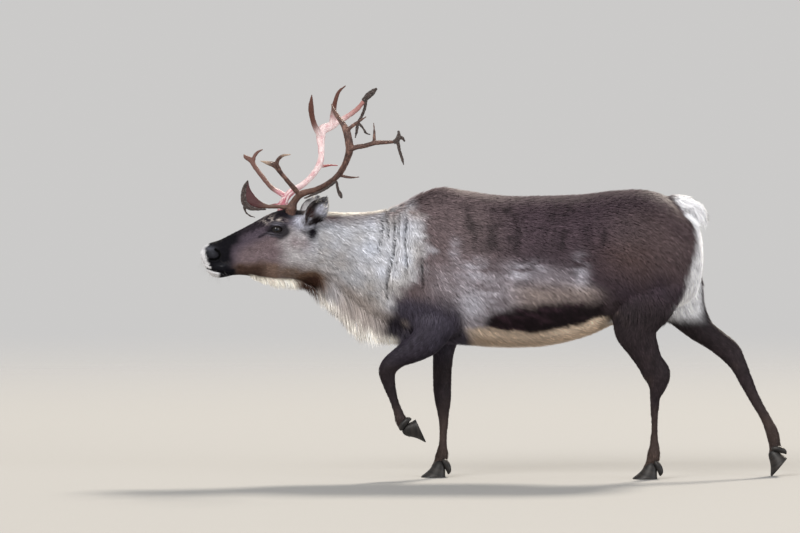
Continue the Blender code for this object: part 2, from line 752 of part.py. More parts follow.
# Antlers. Each is split at its main forks. A row is x, y, z, half depth, half width.
LEFT_BEAM = [
    (-0.755, -0.046, 0.994, 0.019, 0.019),
    (-0.752, -0.050, 1.012, 0.019, 0.019),
    (-0.742, -0.056, 1.035, 0.014, 0.014),
    (-0.718, -0.070, 1.063, 0.0135, 0.0135),
    (-0.664, -0.105, 1.081, 0.011, 0.011),
    (-0.619, -0.145, 1.103, 0.0105, 0.0105),
    (-0.587, -0.175, 1.126, 0.011, 0.011),
    (-0.560, -0.205, 1.159, 0.0115, 0.0115),
    (-0.542, -0.232, 1.198, 0.012, 0.012),
    (-0.532, -0.250, 1.238, 0.018, 0.011),
]
LEFT_CROWN = [
    (-0.533, -0.250, 1.238, 0.0175, 0.0105),
    (-0.536, -0.254, 1.271, 0.0175, 0.010),
    (-0.543, -0.250, 1.301, 0.0165, 0.009),
    (-0.555, -0.238, 1.326, 0.011, 0.009),
    (-0.578, -0.216, 1.359, 0.009, 0.008),
    (-0.593, -0.198, 1.384, 0.006, 0.006),
    (-0.601, -0.183, 1.404, 0.0015, 0.0015),
]
LEFT_CROWN_PRONG = [
    (-0.547, -0.250, 1.301, 0.009, 0.008),
    (-0.528, -0.254, 1.317, 0.0075, 0.007),
    (-0.501, -0.262, 1.336, 0.006, 0.0055),
    (-0.469, -0.268, 1.357, 0.0015, 0.0015),
]
LEFT_REAR = [
    (-0.532, -0.250, 1.234, 0.010, 0.010),
    (-0.510, -0.256, 1.242, 0.010, 0.009),
    (-0.472, -0.267, 1.249, 0.009, 0.0085),
    (-0.441, -0.272, 1.258, 0.009, 0.008),
    (-0.401, -0.275, 1.261, 0.0078, 0.0075),
    (-0.356, -0.272, 1.263, 0.005, 0.005),
]
LEFT_REAR_PRONG = [
    (-0.442, -0.272, 1.256, 0.0075, 0.007),
    (-0.440, -0.270, 1.286, 0.0055, 0.005),
    (-0.443, -0.262, 1.335, 0.0015, 0.0015),
]
LEFT_BACK_TINE = [
    (-0.581, -0.182, 1.140, 0.007, 0.007),
    (-0.559, -0.197, 1.135, 0.006, 0.006),
    (-0.528, -0.215, 1.130, 0.0048, 0.0045),
    (-0.495, -0.230, 1.132, 0.0015, 0.0015),
]
LEFT_BEZ = [
    (-0.716, -0.066, 1.057, 0.0105, 0.0105),
    (-0.742, -0.085, 1.089, 0.0095, 0.0095),
    (-0.764, -0.100, 1.115, 0.0088, 0.0088),
    (-0.792, -0.125, 1.149, 0.0088, 0.0085),
    (-0.810, -0.142, 1.174, 0.012, 0.0075),
    (-0.834, -0.150, 1.182, 0.0085, 0.0065),
    (-0.866, -0.155, 1.191, 0.0015, 0.0015),
]
LEFT_BEZ_PRONG = [
    (-0.806, -0.142, 1.168, 0.0085, 0.007),
    (-0.801, -0.150, 1.192, 0.0075, 0.006),
    (-0.784, -0.158, 1.209, 0.006, 0.005),
    (-0.750, -0.166, 1.215, 0.0015, 0.0015),
]
LEFT_BROW = [
    (-0.750, -0.052, 1.014, 0.0095, 0.0095),
    (-0.791, -0.050, 1.018, 0.0075, 0.0085),
    (-0.840, -0.045, 1.019, 0.008, 0.0075),
    (-0.879, -0.040, 1.029, 0.017, 0.006),
    (-0.908, -0.034, 1.052, 0.021, 0.005),
    (-0.919, -0.030, 1.082, 0.015, 0.0045),
    (-0.915, -0.030, 1.112, 0.003, 0.003),
]
RIGHT_BEAM = [
    (-0.787, 0.044, 0.994, 0.018, 0.018),
    (-0.786, 0.048, 1.020, 0.018, 0.018),
    (-0.776, 0.056, 1.046, 0.0145, 0.0145),
    (-0.754, 0.072, 1.071, 0.0135, 0.0135),
    (-0.710, 0.110, 1.099, 0.0115, 0.0115),
    (-0.674, 0.150, 1.134, 0.0115, 0.0115),
    (-0.651, 0.185, 1.170, 0.012, 0.012),
    (-0.643, 0.210, 1.201, 0.012, 0.0115),
    (-0.643, 0.235, 1.238, 0.0140, 0.0115),
    (-0.645, 0.250, 1.270, 0.019, 0.011),
]
RIGHT_CROWN = [
    (-0.645, 0.250, 1.268, 0.0185, 0.0105),
    (-0.641, 0.257, 1.301, 0.021, 0.009),
    (-0.607, 0.267, 1.318, 0.018, 0.009),
    (-0.578, 0.274, 1.335, 0.0125, 0.009),
    (-0.537, 0.280, 1.359, 0.0095, 0.0085),
    (-0.506, 0.280, 1.383, 0.009, 0.008),
    (-0.478, 0.275, 1.416, 0.0075, 0.007),
    (-0.439, 0.266, 1.451, 0.003, 0.003),
]
RIGHT_CROWN_PRONG = [
    (-0.602, 0.268, 1.316, 0.013, 0.009),
    (-0.598, 0.264, 1.365, 0.011, 0.0085),
    (-0.589, 0.250, 1.415, 0.0085, 0.007),
    (-0.574, 0.236, 1.451, 0.006, 0.0055),
    (-0.549, 0.225, 1.471, 0.0015, 0.0015),
]
RIGHT_FRONT = [
    (-0.645, 0.250, 1.276, 0.013, 0.010),
    (-0.664, 0.242, 1.311, 0.011, 0.009),
    (-0.677, 0.226, 1.351, 0.0105, 0.0085),
    (-0.681, 0.205, 1.392, 0.0105, 0.008),
    (-0.678, 0.180, 1.438, 0.0015, 0.0015),
]
RIGHT_BACK_TINE = [
    (-0.652, 0.184, 1.168, 0.0075, 0.007),
    (-0.635, 0.196, 1.167, 0.006, 0.006),
    (-0.610, 0.211, 1.170, 0.0045, 0.0045),
    (-0.579, 0.226, 1.169, 0.0015, 0.0015),
]
RIGHT_BEZ = [
    (-0.771, 0.062, 1.054, 0.0105, 0.0105),
    (-0.801, 0.078, 1.070, 0.0098, 0.0098),
    (-0.825, 0.091, 1.085, 0.009, 0.009),
    (-0.864, 0.125, 1.129, 0.009, 0.0085),
    (-0.892, 0.150, 1.165, 0.0092, 0.008),
    (-0.909, 0.163, 1.191, 0.0105, 0.007),
    (-0.929, 0.169, 1.203, 0.007, 0.006),
    (-0.935, 0.171, 1.213, 0.0015, 0.0015),
]
RIGHT_BEZ_PRONG = [
    (-0.900, 0.158, 1.177, 0.0085, 0.007),
    (-0.896, 0.167, 1.200, 0.0075, 0.006),
    (-0.883, 0.175, 1.219, 0.0055, 0.005),
    (-0.862, 0.181, 1.231, 0.0015, 0.0015),
]
RIGHT_BROW = [
    (-0.780, 0.048, 1.022, 0.009, 0.009),
    (-0.818, 0.047, 1.019, 0.0075, 0.0075),
    (-0.855, 0.045, 1.018, 0.0058, 0.0058),
    (-0.885, 0.043, 1.026, 0.0015, 0.0015),
]
ANTLER_POINTS = 8
ANTLER_STEPS = 1

# Node, its tubes, and the tubes of the node that it grows from
ANTLERS = {
    "antler_left_beam": ([LEFT_BEAM, LEFT_BACK_TINE], []),
    "antler_left_crown": ([LEFT_CROWN, LEFT_CROWN_PRONG], [LEFT_BEAM]),
    "antler_left_rear": ([LEFT_REAR, LEFT_REAR_PRONG], [LEFT_BEAM, LEFT_CROWN]),
    "antler_left_bez": ([LEFT_BEZ, LEFT_BEZ_PRONG], [LEFT_BEAM]),
    "antler_left_brow": ([LEFT_BROW], [LEFT_BEAM]),
    "antler_right_beam": ([RIGHT_BEAM, RIGHT_BACK_TINE], []),
    "antler_right_crown": ([RIGHT_CROWN, RIGHT_CROWN_PRONG], [RIGHT_BEAM]),
    "antler_right_front": ([RIGHT_FRONT], [RIGHT_BEAM, RIGHT_CROWN]),
    "antler_right_bez": ([RIGHT_BEZ, RIGHT_BEZ_PRONG], [RIGHT_BEAM]),
    "antler_right_brow": ([RIGHT_BROW], [RIGHT_BEAM]),
}


def tube(rows, collection, grow=0.0):
    return limb("tube", rows, ANTLER_STEPS, ANTLER_POINTS, collection, grow)


for name, (tubes, parents) in ANTLERS.items():
    made = tube(tubes[0], parts)
    made.name = name
    union(made, [tube(rows, helpers) for rows in tubes[1:]])
    cutters = [tube(rows, helpers, CUT_GROWTH) for rows in parents] + [body_cutter()]
    cut_clear(made, cutters)
    finish(made, "antler_brown" if "left" in name else "antler_pink")

# Velvet that is being shed: strips and sleeves of dry skin that hang from the antlers
VELVET = {
    "velvet_left_rear": (
        [
            [
                (-0.369, -0.274, 1.261, 0.0075, 0.0075),
                (-0.354, -0.272, 1.271, 0.0095, 0.008),
                (-0.349, -0.270, 1.292, 0.007, 0.006),
                (-0.351, -0.268, 1.305, 0.003, 0.003),
            ],
            [
                (-0.358, -0.272, 1.279, 0.008, 0.007),
                (-0.337, -0.270, 1.277, 0.0065, 0.005),
                (-0.327, -0.270, 1.264, 0.003, 0.003),
            ],
            [
                (-0.354, -0.273, 1.267, 0.0075, 0.006),
                (-0.347, -0.273, 1.230, 0.006, 0.0035),
                (-0.336, -0.273, 1.198, 0.0055, 0.003),
                (-0.331, -0.273, 1.177, 0.002, 0.002),
            ],
        ],
        [LEFT_REAR],
    ),
    "velvet_right_crown": (
        [
            [
                (-0.484, 0.276, 1.412, 0.0085, 0.0085),
                (-0.471, 0.274, 1.427, 0.0115, 0.010),
                (-0.452, 0.270, 1.444, 0.0115, 0.010),
                (-0.432, 0.266, 1.460, 0.004, 0.004),
            ],
            [
                (-0.476, 0.275, 1.419, 0.008, 0.006),
                (-0.478, 0.279, 1.387, 0.0065, 0.0035),
                (-0.490, 0.283, 1.356, 0.006, 0.003),
                (-0.504, 0.285, 1.327, 0.0065, 0.003),
                (-0.510, 0.285, 1.297, 0.0055, 0.003),
                (-0.514, 0.285, 1.273, 0.002, 0.002),
            ],
            [
                (-0.503, 0.285, 1.330, 0.005, 0.003),
                (-0.486, 0.285, 1.311, 0.0045, 0.0028),
                (-0.474, 0.285, 1.292, 0.004, 0.0025),
                (-0.457, 0.285, 1.285, 0.0018, 0.0018),
            ],
        ],
        [RIGHT_CROWN],
    ),
    "velvet_left_beam": (
        [
            [
                (-0.703, -0.082, 1.050, 0.003, 0.003),
                (-0.675, -0.100, 1.062, 0.0045, 0.0035),
                (-0.637, -0.131, 1.078, 0.0045, 0.0035),
                (-0.604, -0.162, 1.098, 0.0045, 0.0035),
                (-0.583, -0.180, 1.113, 0.0055, 0.004),
                (-0.576, -0.182, 1.086, 0.0055, 0.0035),
                (-0.566, -0.181, 1.063, 0.0075, 0.0045),
                (-0.562, -0.181, 1.051, 0.003, 0.003),
            ],
        ],
        [LEFT_BEAM, LEFT_BACK_TINE],
    ),
    "velvet_left_brow": (
        [
            [
                (-0.914, -0.030, 1.116, 0.003, 0.004),
                (-0.926, -0.030, 1.091, 0.0085, 0.0065),
                (-0.930, -0.032, 1.061, 0.011, 0.0075),
                (-0.926, -0.036, 1.031, 0.012, 0.008),
                (-0.906, -0.040, 1.014, 0.0095, 0.0075),
                (-0.878, -0.042, 1.009, 0.0055, 0.0055),
                (-0.847, -0.045, 1.008, 0.002, 0.003),
            ],
            [
                (-0.928, -0.036, 1.024, 0.006, 0.004),
                (-0.923, -0.036, 0.999, 0.0035, 0.0025),
                (-0.906, -0.036, 0.984, 0.003, 0.002),
                (-0.888, -0.036, 0.978, 0.0015, 0.0015),
            ],
        ],
        [LEFT_BROW],
    ),
}
VELVET_POINTS = 6

for name, (strips, parents) in VELVET.items():
    made = limb(name, strips[0], ANTLER_STEPS, VELVET_POINTS, parts)
    union(made, [limb("strip", rows, ANTLER_STEPS, VELVET_POINTS, helpers) for rows in strips[1:]])
    cut_clear(made, [tube(rows, helpers, CUT_GROWTH) for rows in parents])
    finish(made, "velvet")
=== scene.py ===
"""Looks for a life-size bull reindeer in mid stride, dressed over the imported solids.

Metres, +Z up. The nose points along -X and the animal's left side faces -Y. Neck and head are made
straight first, as in the solids, and turned towards the left at the end.
"""

import math

import bmesh
import bpy
import numpy as np
from mathutils import Matrix, Vector
from mathutils.bvhtree import BVHTree


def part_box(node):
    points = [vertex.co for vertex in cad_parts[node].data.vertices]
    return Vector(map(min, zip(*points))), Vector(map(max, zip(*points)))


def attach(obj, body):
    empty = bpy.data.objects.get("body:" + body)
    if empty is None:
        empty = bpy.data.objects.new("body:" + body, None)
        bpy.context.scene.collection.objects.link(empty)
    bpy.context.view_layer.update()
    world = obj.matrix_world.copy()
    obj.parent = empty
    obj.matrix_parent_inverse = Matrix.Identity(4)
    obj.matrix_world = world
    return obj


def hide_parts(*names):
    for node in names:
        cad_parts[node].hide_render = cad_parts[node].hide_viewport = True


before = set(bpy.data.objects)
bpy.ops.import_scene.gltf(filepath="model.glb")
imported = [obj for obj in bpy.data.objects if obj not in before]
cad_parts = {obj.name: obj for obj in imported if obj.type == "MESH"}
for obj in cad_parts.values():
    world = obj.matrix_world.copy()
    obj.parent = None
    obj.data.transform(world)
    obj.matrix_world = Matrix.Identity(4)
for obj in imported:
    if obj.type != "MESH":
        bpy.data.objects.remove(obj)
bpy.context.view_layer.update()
scene = bpy.context.scene

# Camera: a long lens about 25 m off, a little above the level of the back, square to the left side.
# The view is as wide as the photo is at the animal's middle plane.
VIEW_WIDTH = 3.0
VIEW_CENTRE = Vector((-0.345, 0.0, 0.793))
VIEW_DISTANCE = 25.0
VIEW_ELEVATION = math.radians(1.6)
SENSOR_MM = 36.0


def linked(name, data):
    """A new object of the scene."""
    made = bpy.data.objects.new(name, data)
    scene.collection.objects.link(made)
    return made


camera = linked("camera", bpy.data.cameras.new("camera"))
scene.camera = camera
camera.data.sensor_width = SENSOR_MM
camera.data.lens = SENSOR_MM * VIEW_DISTANCE / VIEW_WIDTH
camera.data.clip_end = 500.0
towards_camera = Vector((0, -math.cos(VIEW_ELEVATION), math.sin(VIEW_ELEVATION)))
camera.location = VIEW_CENTRE + towards_camera * VIEW_DISTANCE
camera.rotation_euler = (-towards_camera).to_track_quat("-Z", "Y").to_euler()

# Floor and light: a plain pale studio floor that fades into an even surround, one broad soft light in
# front, a weak one from the rear quarter, and a warm one high up behind that rims the coat.
FLOOR_RADIUS = 16.0
FLOOR_FADES_FROM, FLOOR_FADES_TO = 4.0, 15.0
FLOOR_COLOUR = (0.300, 0.296, 0.290, 1)
SURROUND_COLOUR = (0.88, 0.87, 0.86, 1)
SURROUND_STRENGTH = 0.68
# Name, the way it comes from, how wide it is in degrees, strength and colour
LIGHTS = [
    ("key_light", (-3.0, -5.0, 4.0), 28, 2.3, (1.0, 0.98, 0.95)),
    ("fill_light", (4.8, -4.2, 1.7), 40, 1.1, (0.93, 0.96, 1.0)),
    ("rim_light", (1.6, 3.6, 3.6), 12, 4.2, (1.0, 0.91, 0.78)),
]

floor_mesh = bmesh.new()
bmesh.ops.create_circle(floor_mesh, cap_ends=True, segments=128, radius=FLOOR_RADIUS)
floor = linked("studio_floor", bpy.data.meshes.new("studio_floor"))
floor_mesh.to_mesh(floor.data)
floor_mesh.free()
for name, place, wide, strength, colour in LIGHTS:
    light = linked(name, bpy.data.lights.new(name, "SUN"))
    light.data.angle = math.radians(wide)
    light.data.energy = strength
    light.data.color = colour
    light.location = place
    light.rotation_euler = Vector(place).to_track_quat("Z", "Y").to_euler()
scene.view_settings.view_transform = "Standard"
scene.world = bpy.data.worlds.new("surround")
scene.world.use_nodes = True
surround = scene.world.node_tree.nodes["Background"].inputs
surround["Color"].default_value = SURROUND_COLOUR
surround["Strength"].default_value = SURROUND_STRENGTH


class Wire:
    """A shader socket for use in expressions: arithmetic on it adds Math nodes."""

    def __init__(self, tree, socket=None):
        self.tree, self.socket = tree, socket

    def add(self, kind, settings=None, inputs=None, output=0):
        node = self.tree.nodes.new(kind)
        for key, value in (settings or {}).items():
            setattr(node, key, value)
        for key, value in (inputs or {}).items():
            if isinstance(value, Wire):
                self.tree.links.new(value.socket, node.inputs[key])
            else:
                node.inputs[key].default_value = value
        return Wire(self.tree, node.outputs[output])

    def maths(self, operation, *values):
        return self.add("ShaderNodeMath", {"operation": operation}, dict(enumerate(values)))

    def __add__(self, other):
        return self.maths("ADD", self, other)

    def __sub__(self, other):
        return self.maths("SUBTRACT", self, other)

    def __rsub__(self, other):
        return self.maths("SUBTRACT", other, self)

    def __mul__(self, other):
        return self.maths("MULTIPLY", self, other)

    __radd__, __rmul__ = __add__, __mul__

    def attribute(self, name, output="Fac"):
        return self.add("ShaderNodeAttribute", {"attribute_name": name}, output=output)

    def coordinates(self):
        return self.add("ShaderNodeTexCoord", output="Object")

    def noise(self, scale, detail=3.0, roughness=0.55, vector=None):
        sockets = {"Scale": scale, "Detail": detail, "Roughness": roughness}
        sockets["Vector"] = vector or self.coordinates()
        return self.add("ShaderNodeTexNoise", {}, sockets)

    def stretched(self, vector, scale):
        return self.add("ShaderNodeMapping", {"vector_type": "POINT"}, {"Vector": vector, "Scale": scale})

    def between(self, low, high):
        """0 below low, 1 above high, smooth between."""
        settings = {"interpolation_type": "SMOOTHSTEP"}
        return self.add("ShaderNodeMapRange", settings, {"Value": self, "From Min": low, "From Max": high})

    def mix(self, share, first, second, blend="MIX"):
        settings = {"data_type": "RGBA", "blend_type": blend}
        return self.add("ShaderNodeMix", settings, {0: share, 6: first, 7: second}, output=2)

    def bump(self, height, distance, strength=1.0):
        sockets = {"Height": height, "Distance": distance, "Strength": strength}
        return self.add("ShaderNodeBump", {}, sockets)


def new_finish(name, constants):
    """A Principled material with its unvarying values set: the material, its shader and a first wire."""
    made = bpy.data.materials.new(name)
    made.use_nodes = True
    shader = made.node_tree.nodes["Principled BSDF"]
    for socket, value in constants.items():
        shader.inputs[socket].default_value = value
    return made, shader, Wire(made.node_tree)


def feed(shader, wire, socket):
    wire.tree.links.new(wire.socket, shader.inputs[socket])


floor_finish, shader, wire = new_finish("studio_floor", {"Base Color": FLOOR_COLOUR, "Roughness": 0.85})
feed(shader, wire.bump(wire.noise(60.0, 4.0), 0.0008), "Normal")
from_middle = wire.add("ShaderNodeVectorMath", {"operation": "LENGTH"}, {0: wire.coordinates()}, output=1)
feed(shader, 1 - from_middle.between(FLOOR_FADES_FROM, FLOOR_FADES_TO), "Alpha")
floor.data.materials.append(floor_finish)

# Flesh: one skin under the whole coat, from nose to tail and down to the hooves. It is lofted from the
# same outlines as the solids, drawn in by the depth of the hair, fused and smoothed.
def metres(rows):
    """A table in millimetres, or in thousandths where a column isn't a length."""
    return np.array(rows, float) / 1000


# Rings of the body: top x and z, bottom x and z, half width, and how far up it is widest
BODY = metres([
    (778, 870, 778, 810, 35, 500), (769, 938, 772, 731, 85, 500), (750, 982, 757, 675, 125, 500),
    (713, 1020, 720, 645, 160, 500), (660, 1061, 660, 622, 185, 500), (574, 1089, 574, 600, 205, 480),
    (461, 1086, 461, 574, 222, 450), (349, 1073, 349, 529, 245, 430), (199, 1067, 199, 495, 255, 420),
    (30, 1069, 30, 489, 240, 430), (-101, 1087, -112, 497, 215, 450), (-195, 1101, -225, 502, 195, 450),
    (-263, 1080, -326, 506, 165, 460), (-337, 1044, -397, 529, 135, 480), (-420, 1016, -487, 581, 112, 500),
    (-525, 1007, -578, 649, 95, 500), (-615, 1009, -667, 701, 83, 520), (-679, 1012, -724, 726, 77, 550),
    (-731, 1014, -772, 731, 76, 600), (-784, 1012, -821, 735, 78, 660), (-833, 997, -866, 742, 76, 680),
    (-885, 969, -911, 754, 63, 620), (-934, 943, -949, 759, 53, 550), (-979, 921, -986, 756, 49, 500),
    (-1024, 898, -1024, 748, 50, 480), (-1061, 887, -1056, 756, 48, 480), (-1086, 872, -1076, 784, 37, 500),
    (-1099, 851, -1091, 814, 18, 500),
])
# Swellings of the side: x, z, reach along, reach up, height
SWELLINGS = metres([
    (-190, 700, 120, 170, 22), (-150, 960, 90, 110, -14), (610, 800, 150, 180, 22), (420, 920, 90, 90, -16),
    (-300, 620, 70, 90, 12), (-765, 820, 55, 60, 10), (-818, 965, 40, 18, 12), (-868, 930, 30, 24, -8),
    (-930, 840, 50, 50, -4), (-1062, 845, 26, 26, 7), (-1040, 785, 40, 14, 4),
])
# How far the skin lies inside the solids, at x from nose to rump
DEPTHS = metres([
    (-1100, 2.5), (-1000, 3), (-900, 4), (-780, 7), (-680, 12), (-550, 20), (-350, 24), (-100, 19),
    (400, 18), (780, 20),
])
FAR = 1e9
HEAD_TURN = math.radians(8)
TURN_STARTS_X, TURN_ENDS_X, TURN_PIVOT_X = -0.42, -0.64, -0.60
# Rings of the legs and the tail: x, y, z, half depth, half width
LEGS = {
    "foreleg_left": metres([
        (-195, -105, 713, 80, 45), (-199, -120, 630, 83, 50), (-221, -132, 562, 74, 52),
        (-247, -137, 521, 64, 49), (-307, -135, 479, 49, 41), (-352, -130, 454, 39, 36),
        (-392, -126, 411, 36, 36), (-384, -122, 352, 27, 28), (-371, -119, 307, 21, 22),
        (-354, -116, 259, 21, 21), (-339, -114, 217, 26, 27), (-323, -113, 195, 22, 25),
        (-304, -112, 180, 26, 34),
    ]),
    "foreleg_right": metres([
        (-172, 100, 705, 80, 45), (-169, 112, 622, 78, 50), (-169, 112, 555, 60, 48),
        (-180, 104, 480, 44, 40), (-186, 83, 349, 38, 36), (-184, 74, 292, 35, 36), (-182, 66, 244, 27, 28),
        (-181, 59, 202, 22, 23), (-184, 45, 120, 21, 21), (-188, 38, 79, 28, 27), (-199, 34, 49, 23, 26),
        (-206, 32, 34, 27, 36),
    ]),
    "hindleg_left": metres([
        (637, -115, 855, 110, 55), (593, -122, 724, 128, 66), (555, -127, 637, 116, 66),
        (536, -128, 562, 94, 60), (562, -122, 491, 69, 50), (588, -115, 439, 57, 41),
        (615, -108, 390, 57, 36), (617, -103, 345, 37, 30), (609, -100, 311, 25, 24),
        (607, -96, 263, 20, 22), (606, -87, 142, 20, 21), (604, -83, 86, 29, 28), (593, -81, 52, 24, 26),
        (585, -80, 34, 27, 36),
    ]),
    "hindleg_right": metres([
        (660, 110, 836, 110, 55), (690, 118, 713, 118, 64), (727, 124, 630, 90, 60),
        (780, 126, 559, 62, 50), (840, 122, 514, 54, 42), (896, 117, 469, 52, 36), (934, 113, 412, 38, 30),
        (960, 110, 356, 30, 26), (997, 106, 281, 25, 22), (1035, 103, 214, 24, 22),
        (1061, 101, 152, 29, 28), (1068, 100, 103, 24, 26), (1066, 100, 66.5, 27, 36),
    ]),
}
# How far their skin lies inside the solids, at z
FORELEG_DEPTHS = metres([(0, 4), (1000, 4)])
HINDLEG_DEPTHS = metres([(360, 4), (500, 12), (620, 15)])
TAIL_DEPTHS = metres([(1000, 4), (1030, 8)])
TAIL = metres([
    (660, 0, 1036, 24, 26), (700, 0, 1038, 24, 30), (732, 0, 1028, 20, 30), (757, 0, 1008, 16, 24),
    (770, 0, 990, 9, 12),
])
RING_STEPS = 4
OUTLINE_RING, BODY_RING, LEG_RING, TAIL_RING = 48, 72, 32, 24
SKIN_VOXEL = 0.0075
SKIN_SMOOTHING = 6


def along_curve(at, rows):
    """The second column of a table where the first one is at."""
    return np.interp(at, rows[:, 0], rows[:, 1])


def curve(at, *pairs):
    """The same for pairs in millimetres."""
    return along_curve(at, metres(pairs))


def blob(x, z, middle_x, middle_z, reach_x, reach_z):
    """A soft spot in the side view."""
    return np.exp(-(((x - middle_x) / reach_x) ** 2) - ((z - middle_z) / reach_z) ** 2)


def spots(x, z, rows):
    """The sum of soft spots. A row is x, z, reach along, reach up and height."""
    return sum(height * blob(x, z, *spot) for *spot, height in rows)


def smooth_rows(rows, steps):
    """Rows of numbers with extra rows between them, on a smooth curve through them all."""
    chord = np.linalg.norm(np.diff(rows[:, :3], axis=0), axis=1)
    at = np.concatenate([[0], np.cumsum(np.maximum(chord, 1e-6))])
    slope = np.diff(rows, axis=0) / np.diff(at)[:, None]
    before, after = np.diff(at)[:-1, None], np.diff(at)[1:, None]
    inner = (after * slope[:-1] + before * slope[1:]) / (before + after)
    tangent = np.vstack([slope[:1], inner, slope[-1:]])
    found = []
    for i in range(len(rows) - 1):
        length = at[i + 1] - at[i]
        for part in range(steps):
            t = part / steps
            found.append(
                (2 * t**3 - 3 * t**2 + 1) * rows[i]
                + (t**3 - 2 * t**2 + t) * length * tangent[i]
                + (3 * t**2 - 2 * t**3) * rows[i + 1]
                + (t**3 - t**2) * length * tangent[i + 1]
            )
    return np.array(found + [rows[-1]])


def body_ring(row, points, depth):
    """One ring of the body, a little boxy below and narrower along the spine."""
    angle = 2 * math.pi * np.arange(points) / points
    across, up = np.sin(angle), np.cos(angle)
    top, bottom = np.array((row[0], 0, row[1])), np.array((row[2], 0, row[3]))
    rise = top - bottom
    height = np.linalg.norm(rise)
    rise = rise / height
    share = np.where(up > 0, row[5] + (1 - row[5]) * up, row[5] + row[5] * up)
    ring = bottom + rise * (height * share)[:, None]
    wide = np.abs(across) ** np.where(up > 0, 1.12, 0.92) * row[4]
    wide = wide + np.abs(across) * spots(ring[:, 0], ring[:, 2], SWELLINGS)
    ring = ring - rise * (depth * up)[:, None]
    ring[:, 1] = np.sign(across) * np.maximum(wide - depth * np.abs(across), 0)
    return ring


def limb_rings(rows, steps, points, depths=metres([(0, 0)])):
    """Elliptical rings square to a path, drawn in by a depth that goes with height."""
    rows = smooth_rows(rows, steps)
    along = np.gradient(rows[:, :3], axis=0)
    along /= np.linalg.norm(along, axis=1)[:, None]
    side = np.where(np.abs(along[:, 1:2]) > 0.9, [[1.0, 0, 0]], [[0, 1.0, 0]])
    deep = np.cross(side, along)
    deep /= np.linalg.norm(deep, axis=1)[:, None]
    wide = np.cross(along, deep)
    angle = 2 * math.pi * np.arange(points) / points
    radii = np.maximum(rows[:, 3:5] - along_curve(rows[:, 2], depths)[:, None], 0.0008)
    return [
        centre + d * r[0] * np.cos(angle)[:, None] + w * r[1] * np.sin(angle)[:, None]
        for centre, d, w, r in zip(rows[:, :3], deep, wide, radii)
    ]


def add_loft(bm, rings, ends=True, flip=False):
    """Adds a skin over rings with equal numbers of points to a bmesh, closed at both ends."""
    loops = [[bm.verts.new(point) for point in ring] for ring in rings]
    count = len(loops[0])
    for first, second in zip(loops[:-1], loops[1:]):
        for j in range(count):
            k = (j + 1) % count
            corners = (first[j], first[k], second[k], second[j])
            bm.faces.new(corners[::-1] if flip else corners)
    if ends:
        bm.faces.new(loops[0][::-1])
        bm.faces.new(loops[-1])


def to_object(name, bm):
    """A new linked object made from a bmesh, with its faces turned outwards."""
    bmesh.ops.recalc_face_normals(bm, faces=bm.faces)
    mesh = bpy.data.meshes.new(name)
    bm.to_mesh(mesh)
    bm.free()
    return linked(name, mesh)


def baked(obj):
    """The object with its modifiers worked into its mesh."""
    bpy.context.view_layer.update()
    graph = bpy.context.evaluated_depsgraph_get()
    mesh = bpy.data.meshes.new_from_object(obj.evaluated_get(graph))
    obj.modifiers.clear()
    obj.data = mesh
    return obj


def fused(obj, voxel):
    """Overlapping closed shells made one by a voxel remesh."""
    remesh = obj.modifiers.new("fuse", "REMESH")
    remesh.mode = "VOXEL"
    remesh.voxel_size = voxel
    return baked(obj)


def read(items, field, width, kind=np.float32):
    """A field of a mesh's vertices, edges or loops as an array, one row for each."""
    found = np.zeros(len(items) * width, kind)
    items.foreach_get(field, found)
    return found.reshape(-1, width)


def coordinates_of(mesh):
    return read(mesh.vertices, "co", 3).astype(float)


def set_coordinates(mesh, points):
    mesh.vertices.foreach_set("co", np.asarray(points, np.float32).ravel())
    mesh.update()


def normals_of(mesh):
    return read(mesh.vertex_normals, "vector", 3).astype(float)


def smooth(mesh, turns, share=None):
    """Moves each point towards the mean of its neighbours, turn by turn."""
    edges = read(mesh.edges, "vertices", 2, np.int32)
    points = coordinates_of(mesh)
    count = np.bincount(edges.ravel(), minlength=len(points))[:, None]
    share = 0.6 if share is None else 0.6 * share[:, None]
    for _ in range(turns):
        total = np.zeros_like(points)
        for axis in range(3):
            for here, there in (edges.T, edges.T[::-1]):
                total[:, axis] += np.bincount(here, points[there, axis], len(points))
        points += (total / np.maximum(count, 1) - points) * share
    set_coordinates(mesh, points)


def step(values, low, high):
    """0 at low, 1 at high, smooth between. Low may be above high."""
    t = np.clip((values - low) / (high - low), 0, 1)
    return t * t * (3 - 2 * t)


def window(values, low, high, other_low, other_high):
    """1 between two soft edges, each given by where it is 0 and where it is 1."""
    return step(values, low, high) * step(values, other_low, other_high)


def turned(points):
    """Points of the straight animal after the head is turned a little towards its left."""
    share = step(points[:, 0], TURN_STARTS_X, TURN_ENDS_X)
    cos, sin = np.cos(HEAD_TURN * share), np.sin(HEAD_TURN * share)
    x, y = points[:, 0] - TURN_PIVOT_X, points[:, 1]
    return np.stack([TURN_PIVOT_X + x * cos - y * sin, x * sin + y * cos, points[:, 2]], 1)


def straightened(point):
    """Where a point of the turned head lies on the straight one."""
    back = Matrix.Rotation(-HEAD_TURN, 3, "Z")
    pivot = Vector((TURN_PIVOT_X, 0, 0))
    return pivot + back @ (Vector(point) - pivot)


def off_line(points, a, b):
    """How far along the line from a to b each point lies, as a share, and its offset from there."""
    run = b - a
    t = np.clip((points - a) @ run / (run @ run), 0, 1)
    return t, points - a - t[:, None] * run


